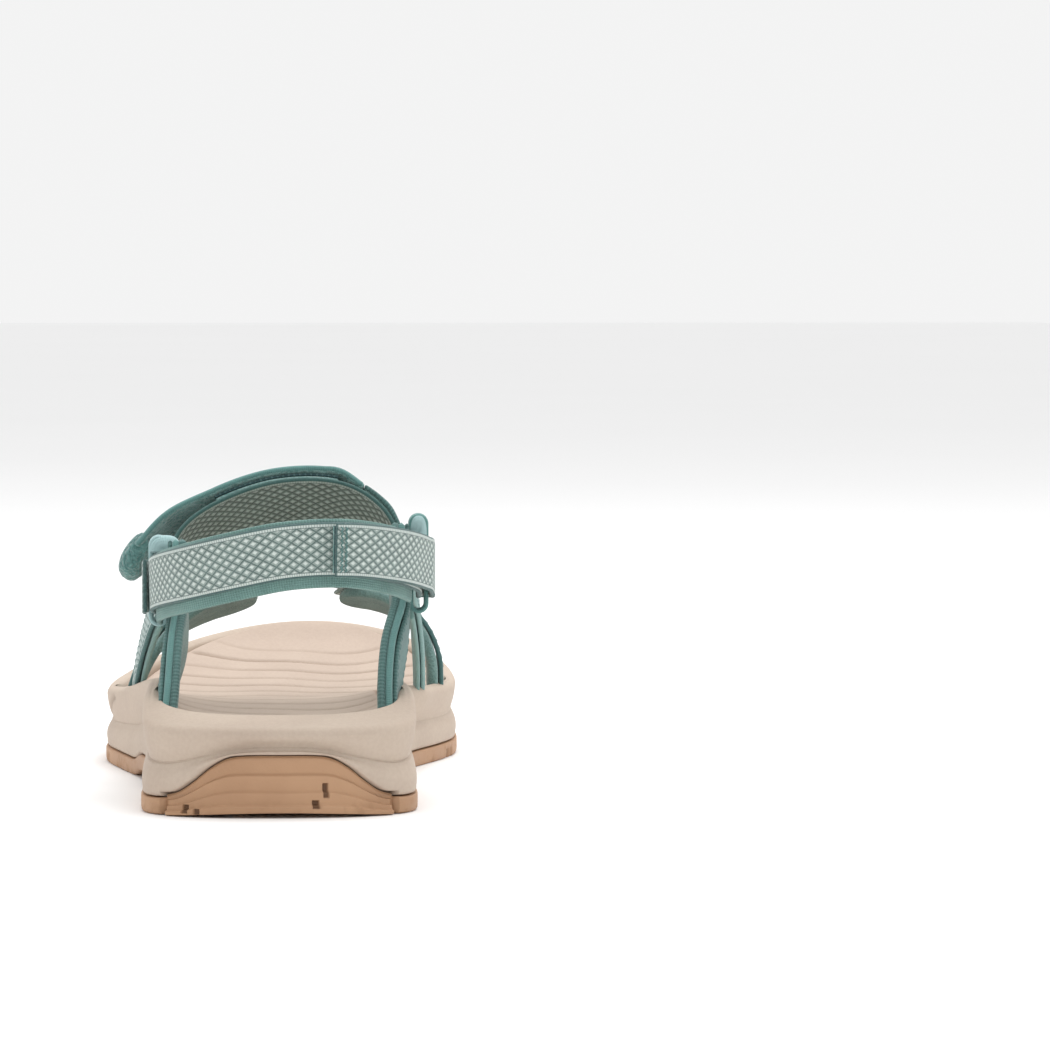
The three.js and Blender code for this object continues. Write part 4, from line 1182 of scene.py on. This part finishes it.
def tape_ring(hand, ankle, bottom, top):
    """A closed loop of tape, 6 mm wide, round a window for the heel strap."""
    wall, depth = 0.9, 4.8
    near, far = ankle + 1.7 + wall / 2, ankle + 1.7 + depth - wall / 2
    low, high = bottom + wall / 2, top - wall / 2
    r = (far - near) / 2.05
    path = []
    for x, z, start in ((far - r, high - r, 0), (near + r, high - r, 90), (near + r, low + r, 180),
                        (far - r, low + r, 270)):
        turn = np.radians(start + np.linspace(0, 90, 9))
        path.append(np.stack([x + r * np.cos(turn), z + r * np.sin(turn)], -1))
    path = np.concatenate(path)
    path = np.concatenate([path, path[:1]])
    travelled = np.concatenate([[0], np.cumsum(np.linalg.norm(np.diff(path, axis=0), axis=1))])
    even = np.linspace(0, travelled[-1], 90)
    x, z = (np.interp(even, travelled, column) for column in path.T)
    centre = np.stack([hand * x, np.full_like(x, RING_AT), z], axis=-1)
    middle = np.array([hand * (near + far) / 2, RING_AT, 0])
    away = centre - middle
    away[:, 2] = z - np.clip(z, low + r, high - r)
    route = Route(centre, away)
    for values in (route.centre, route.aside, route.outward):
        values[-1] = values[0]
    return pillow(route, 6, -wall / 2, wall / 2 + 0.45, edge=0.6, columns=13, closed=True)


for side, hand, ankle, bottom, top, cloth in (("lateral", -1, 30, 48.5, 73.5, pale_binding),
                                              ("medial", 1, 35.5, 52, 79.5, teal_binding)):
    place(shell(f"{side}_tape_ring", tape_ring(hand, ankle, bottom, top), cloth), "tape",
          [f"{side}_ankle_ring"])


def folded_top(hand, middle, half_width, bottom, top):
    """The tape's fold over a post's top: a half-round arch carried along the foot, with rounded ends.

    Round the arch, across is the half-width times the cosine of the turn, and up is the arch's height times
    the sine; below the arch's foot it is nearly flat. Both shrink as a quarter circle towards the ends."""
    y = np.linspace(*TOP_RUN, 32)
    turn = np.linspace(0, 2 * np.pi, 49)
    shrink = np.sqrt(1 - (1 - np.clip(np.minimum(y - y[0], y[-1] - y) / 2.2, 0, 1)) ** 2)[:, None]
    across = np.sign(np.cos(turn)) * np.abs(np.cos(turn)) ** 0.75
    up = np.where(np.sin(turn) > 0, (top - bottom) * np.abs(np.sin(turn)) ** 0.85, 0.8 * np.sin(turn))
    x = hand * (middle + half_width * across[None] * shrink)
    z = bottom + up[None] * shrink
    grid = np.stack([x, np.broadcast_to(y[:, None], x.shape), z], axis=-1)
    cloth = np.stack([np.broadcast_to(turn * 4.0, x.shape), np.broadcast_to(y[:, None], x.shape)], axis=-1)
    return [(grid, cloth, None)]


place(shell("lateral_post_top", folded_top(-1, 32.3, 4.5, 69.5, 73.8), pale_binding), "tape")
place(shell("medial_post_top", folded_top(1, 39.6, 2.5, 74.2, 79.8), pale_binding), "tape")

# %% [markdown]
# ## The vamp straps
# Two straps rise from the ball of the foot and cross it, each with a soft wing of a pad under it. A flap
# from the inner one closes over the outer one by hook and loop, and a short hem lies under the flap's root.

# %% Vamp straps, pads and closure
FLAP = 1.8
for side, rows in (("lateral", LATERAL_VAMP), ("medial", MEDIAL_VAMP)):
    route = follow(rows)
    place(shell(f"{side}_vamp_strap", pillow(route, 20, 0, WEB, columns=25), front_web), "patterned_webbing",
          [f"{side}_vamp_webbing"])
    inner = follow(rows, IN_SLOT)
    wing = pillow(inner, 24, -3.3, -0.3, edge=1.5, columns=29, round_end=True)
    pad = shell(f"{side}_vamp_wing", wing, pad_cloth)
    place(pad, "lining", [f"{side}_vamp_pad"])
    sewn = edge_rows(route, 8.2, WEB + 0.05, 2.9, 2.1, span=(32, route.along[-1] - 2))
    place(shell(f"{side}_vamp_stitching", sewn, thread), "patterned_webbing")

FLAP_LIFT = 4.1


def closure(strap, rows, first, last, width, body):
    """Loop tape on a strap and the hook tape that lies on it, which rides on the strap's flap."""
    route = follow(rows, first, last)
    loops = shell(f"{strap}_loops", pillow(route, width, 1.7, 2.6, edge=0.4), pile)
    place(loops, "loop_pile", [f"{strap}_loop_patch"], body)
    grip = shell(f"{strap}_hooks", pillow(route, width, 2.9, 3.8, edge=0.4), hooks)
    place(grip, "hook_tape", [f"{strap}_hook_patch"], f"{strap}_flap")


closure("vamp", LATERAL_VAMP, 5, 7, 18, BODY)
VAMP_FLAP = (traced(MEDIAL_VAMP, 6, 7, 2.0) + [[6, 172.6, 56, 0, 0.3, 0.95]]
             + traced(LATERAL_VAMP, 7, 5, FLAP_LIFT))
vamp_route = follow(VAMP_FLAP)
place(shell("vamp_closure", pillow(vamp_route, 20, 0, FLAP, columns=25, round_end=True), front_web),
      "patterned_webbing", ["vamp_flap"], "vamp_flap")
vamp_hem = follow(traced(MEDIAL_VAMP, 5.55, 5.97, 1.6))
place(shell("vamp_hem", pillow(vamp_hem, 20, 0, 2.2, columns=25), front_web), "patterned_webbing")

# %% [markdown]
# ## The instep strap
# A figured webbing crosses the instep between the two front quarters. A broad flap with a napped face is
# sewn to it near the inner ankle, lies over it, and ends beyond the outer ankle in a thick pull tab. A
# facing carries the flap's sewn end on down towards the inner ring.

# %% Instep webbing, patches, flap and tab
instep_route = follow(INSTEP)
place(shell("instep_strap", pillow(instep_route, 20, 0, WEB, columns=25), shaded_instep_web), "patterned_webbing",
      ["instep_webbing"])
FACING = [traced(INSTEP, stop, stop, lift)[0]
          for stop, lift in ((5.46, 2.2), (5.8, 2.0), (6.2, 1.85), (6.8, 1.7), (7.3, 1.6))]
place(shell("instep_facing", pillow(follow(FACING), 20, 0, 1.4, columns=25), facing_web), "teal_webbing")
closure("instep", INSTEP, 3, 5, 18, BODY)
INSTEP_FLAP = (traced(INSTEP, 5.5, 5.25, 1.7)[:1] + traced(INSTEP, 5, 3, FLAP_LIFT)
               + [[-30.5, 92, 73.4, -0.75, 0.45, 0.5], [-38, 93, 67.8, -0.85, 0.3, 0.4]])
flap_route = follow(INSTEP_FLAP)
place(shell("instep_closure", pillow(flap_route, 20, 0, FLAP, columns=25, crown=0.3), pile), "loop_pile",
      ["instep_flap"], "instep_flap")
flap_edges = edge_cords(flap_route, 9.7, FLAP / 2, 0.75, 10)
place(shell("instep_closure_binding", flap_edges, teal_binding), "loop_pile", (), "instep_flap")
PULL_TAB = [(-34.5, 92.5, 70.6, -0.82, 0.36, 0.44), (-38.8, 93.1, 66.9, -0.86, 0.28, 0.4),
            (-41, 93.5, 64, -0.92, 0.2, 0.25), (-42, 94, 59, -0.98, 0.15, 0.1)]
tab_route = follow(PULL_TAB, spacing=0.4)
tab = shell("instep_tab", pillow(tab_route, 18, -2.3, 4.1, edge=3.1, columns=33, ends=4.0, round_end=True),
            tab_pile)
place(tab, "hook_tape", ["instep_pull_tab"], "instep_flap")

# %% [markdown]
# ## The heel strap
# The heel strap is one webbing. It starts folded round the outer ring, crosses behind the heel, goes
# through the inner ring, turns round its bar and comes back over itself as a flap that hook and loop hold.
# The turn round the bar belongs to both the strap and the flap, so it is put on neither of their bodies.

# %% Heel webbing, lining, flap and the turn
heel_route = follow(HEEL)
place(shell("heel_strap_webbing", pillow(heel_route, 15, 0, WEB, columns=23), heel_web), "patterned_webbing",
      ["heel_webbing"], "heel_strap")
lining_rows = [(x, y, z - 1.2, *outward) for x, y, z, *outward in HEEL]
lining_route = follow(lining_rows, 6, 14)
place(shell("heel_strap_lining", pillow(lining_route, 19, -1.8, -0.3, edge=0.75, columns=25), band_web),
      "teal_webbing", ["heel_lining"], "heel_strap")
closure("heel", HEEL, 11.75, 14, 13, "heel_strap")
HEEL_FLAP = traced(HEEL, 11.75, 14, FLAP_LIFT) + [[42.8, 57, 64, 1, 0, 0], [42.8, 70, 63, 1, 0, 0]]
heel_flap_route = follow(HEEL_FLAP)
place(shell("heel_closure", pillow(heel_flap_route, 15, 0, WEB, columns=23), heel_web), "patterned_webbing",
      ["heel_flap"], "heel_flap")
turn = np.radians(np.linspace(-90, 90, 13))
near, far = 38.9 + WEB / 2, 42.8 + WEB / 2
reach = (far - near) / 2
across = (near + far) / 2 + reach * np.sin(turn)
bend = np.stack([across, 69.6 + 2.4 * np.cos(turn), np.full(13, 63.0)], axis=-1)
away = np.stack([np.sin(turn), np.cos(turn), 0 * turn], axis=-1)
bend_route = follow(np.hstack([bend, away]), spacing=0.4)
heel_turn = shell("heel_strap_turn", pillow(bend_route, 15, -WEB / 2, WEB / 2, columns=23), heel_web)
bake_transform(heel_turn)
place(heel_turn, "patterned_webbing", (), None)

# %% [markdown]
# ## Stitching on the closures
# Dense zigzag rows hold the ends of the straps, and a row of plain stitches runs along each edge of the
# flaps. Each stitch is a short closed capsule of a few faces.

# %% Bar tacks and edge stitching
def bar_tack(route, at, width, lift, count=2):
    """Zigzag rows across a strap at a distance along it."""
    centre, aside, outward = route.pick(at)
    ahead = np.array([np.interp(at, route.along, column) for column in route.ahead.T])
    grids = []
    for k in range(count):
        spots = centre + ahead * (k * 1.3 - 0.6) + np.linspace(-0.5, 0.5, 40)[:, None] * aside * width
        row = Route(spots, np.broadcast_to(outward, spots.shape))
        grids += stitches(row, 0, lift, 0.62, 0.75, radius=0.2, slant=0.42, span=(0.3, row.along[-1] - 0.3))
    return grids


heel_tack = bar_tack(heel_flap_route, 2.2, 13.4, WEB + 0.08)
place(shell("heel_closure_tack", heel_tack, thread), "patterned_webbing", (), "heel_flap")
instep_tack = bar_tack(instep_route, instep_route.along[-1] - 22, 17, WEB + 0.08, 1)
place(shell("instep_tack", instep_tack, thread), "patterned_webbing")
flap_tack = bar_tack(flap_route, 3.0, 17, FLAP + 0.1)
flap_sewn = flap_tack + edge_rows(flap_route, 8.4, FLAP + 0.22, 2.6, 1.8)
place(shell("instep_closure_stitching", flap_sewn, thread), "loop_pile", (), "instep_flap")
vamp_sewn = bar_tack(vamp_route, 3.0, 14, FLAP + 0.08)
vamp_sewn += edge_rows(vamp_route, 8.2, FLAP + 0.05, 2.8, 2.0, span=(2, vamp_route.along[-1] - 6))
place(shell("vamp_closure_stitching", vamp_sewn, thread), "patterned_webbing", (), "vamp_flap")

# %% [markdown]
# ## The floor
# A plain pale floor takes the sandal's soft shadow. It is no part of the sandal.

# %% Floor and finish
floor = stage_card("floor", [(-4, -4, 0), (4, -4, 0), (4, 8, 0), (-4, 8, 0)])
floor.data.materials.append(finish("pale floor", lambda start: {
    "Base Color": noise(start, place_on(start), 3.0).blend(colour(250, 250, 250), colour(248, 248, 248)),
}, Roughness=0.9))
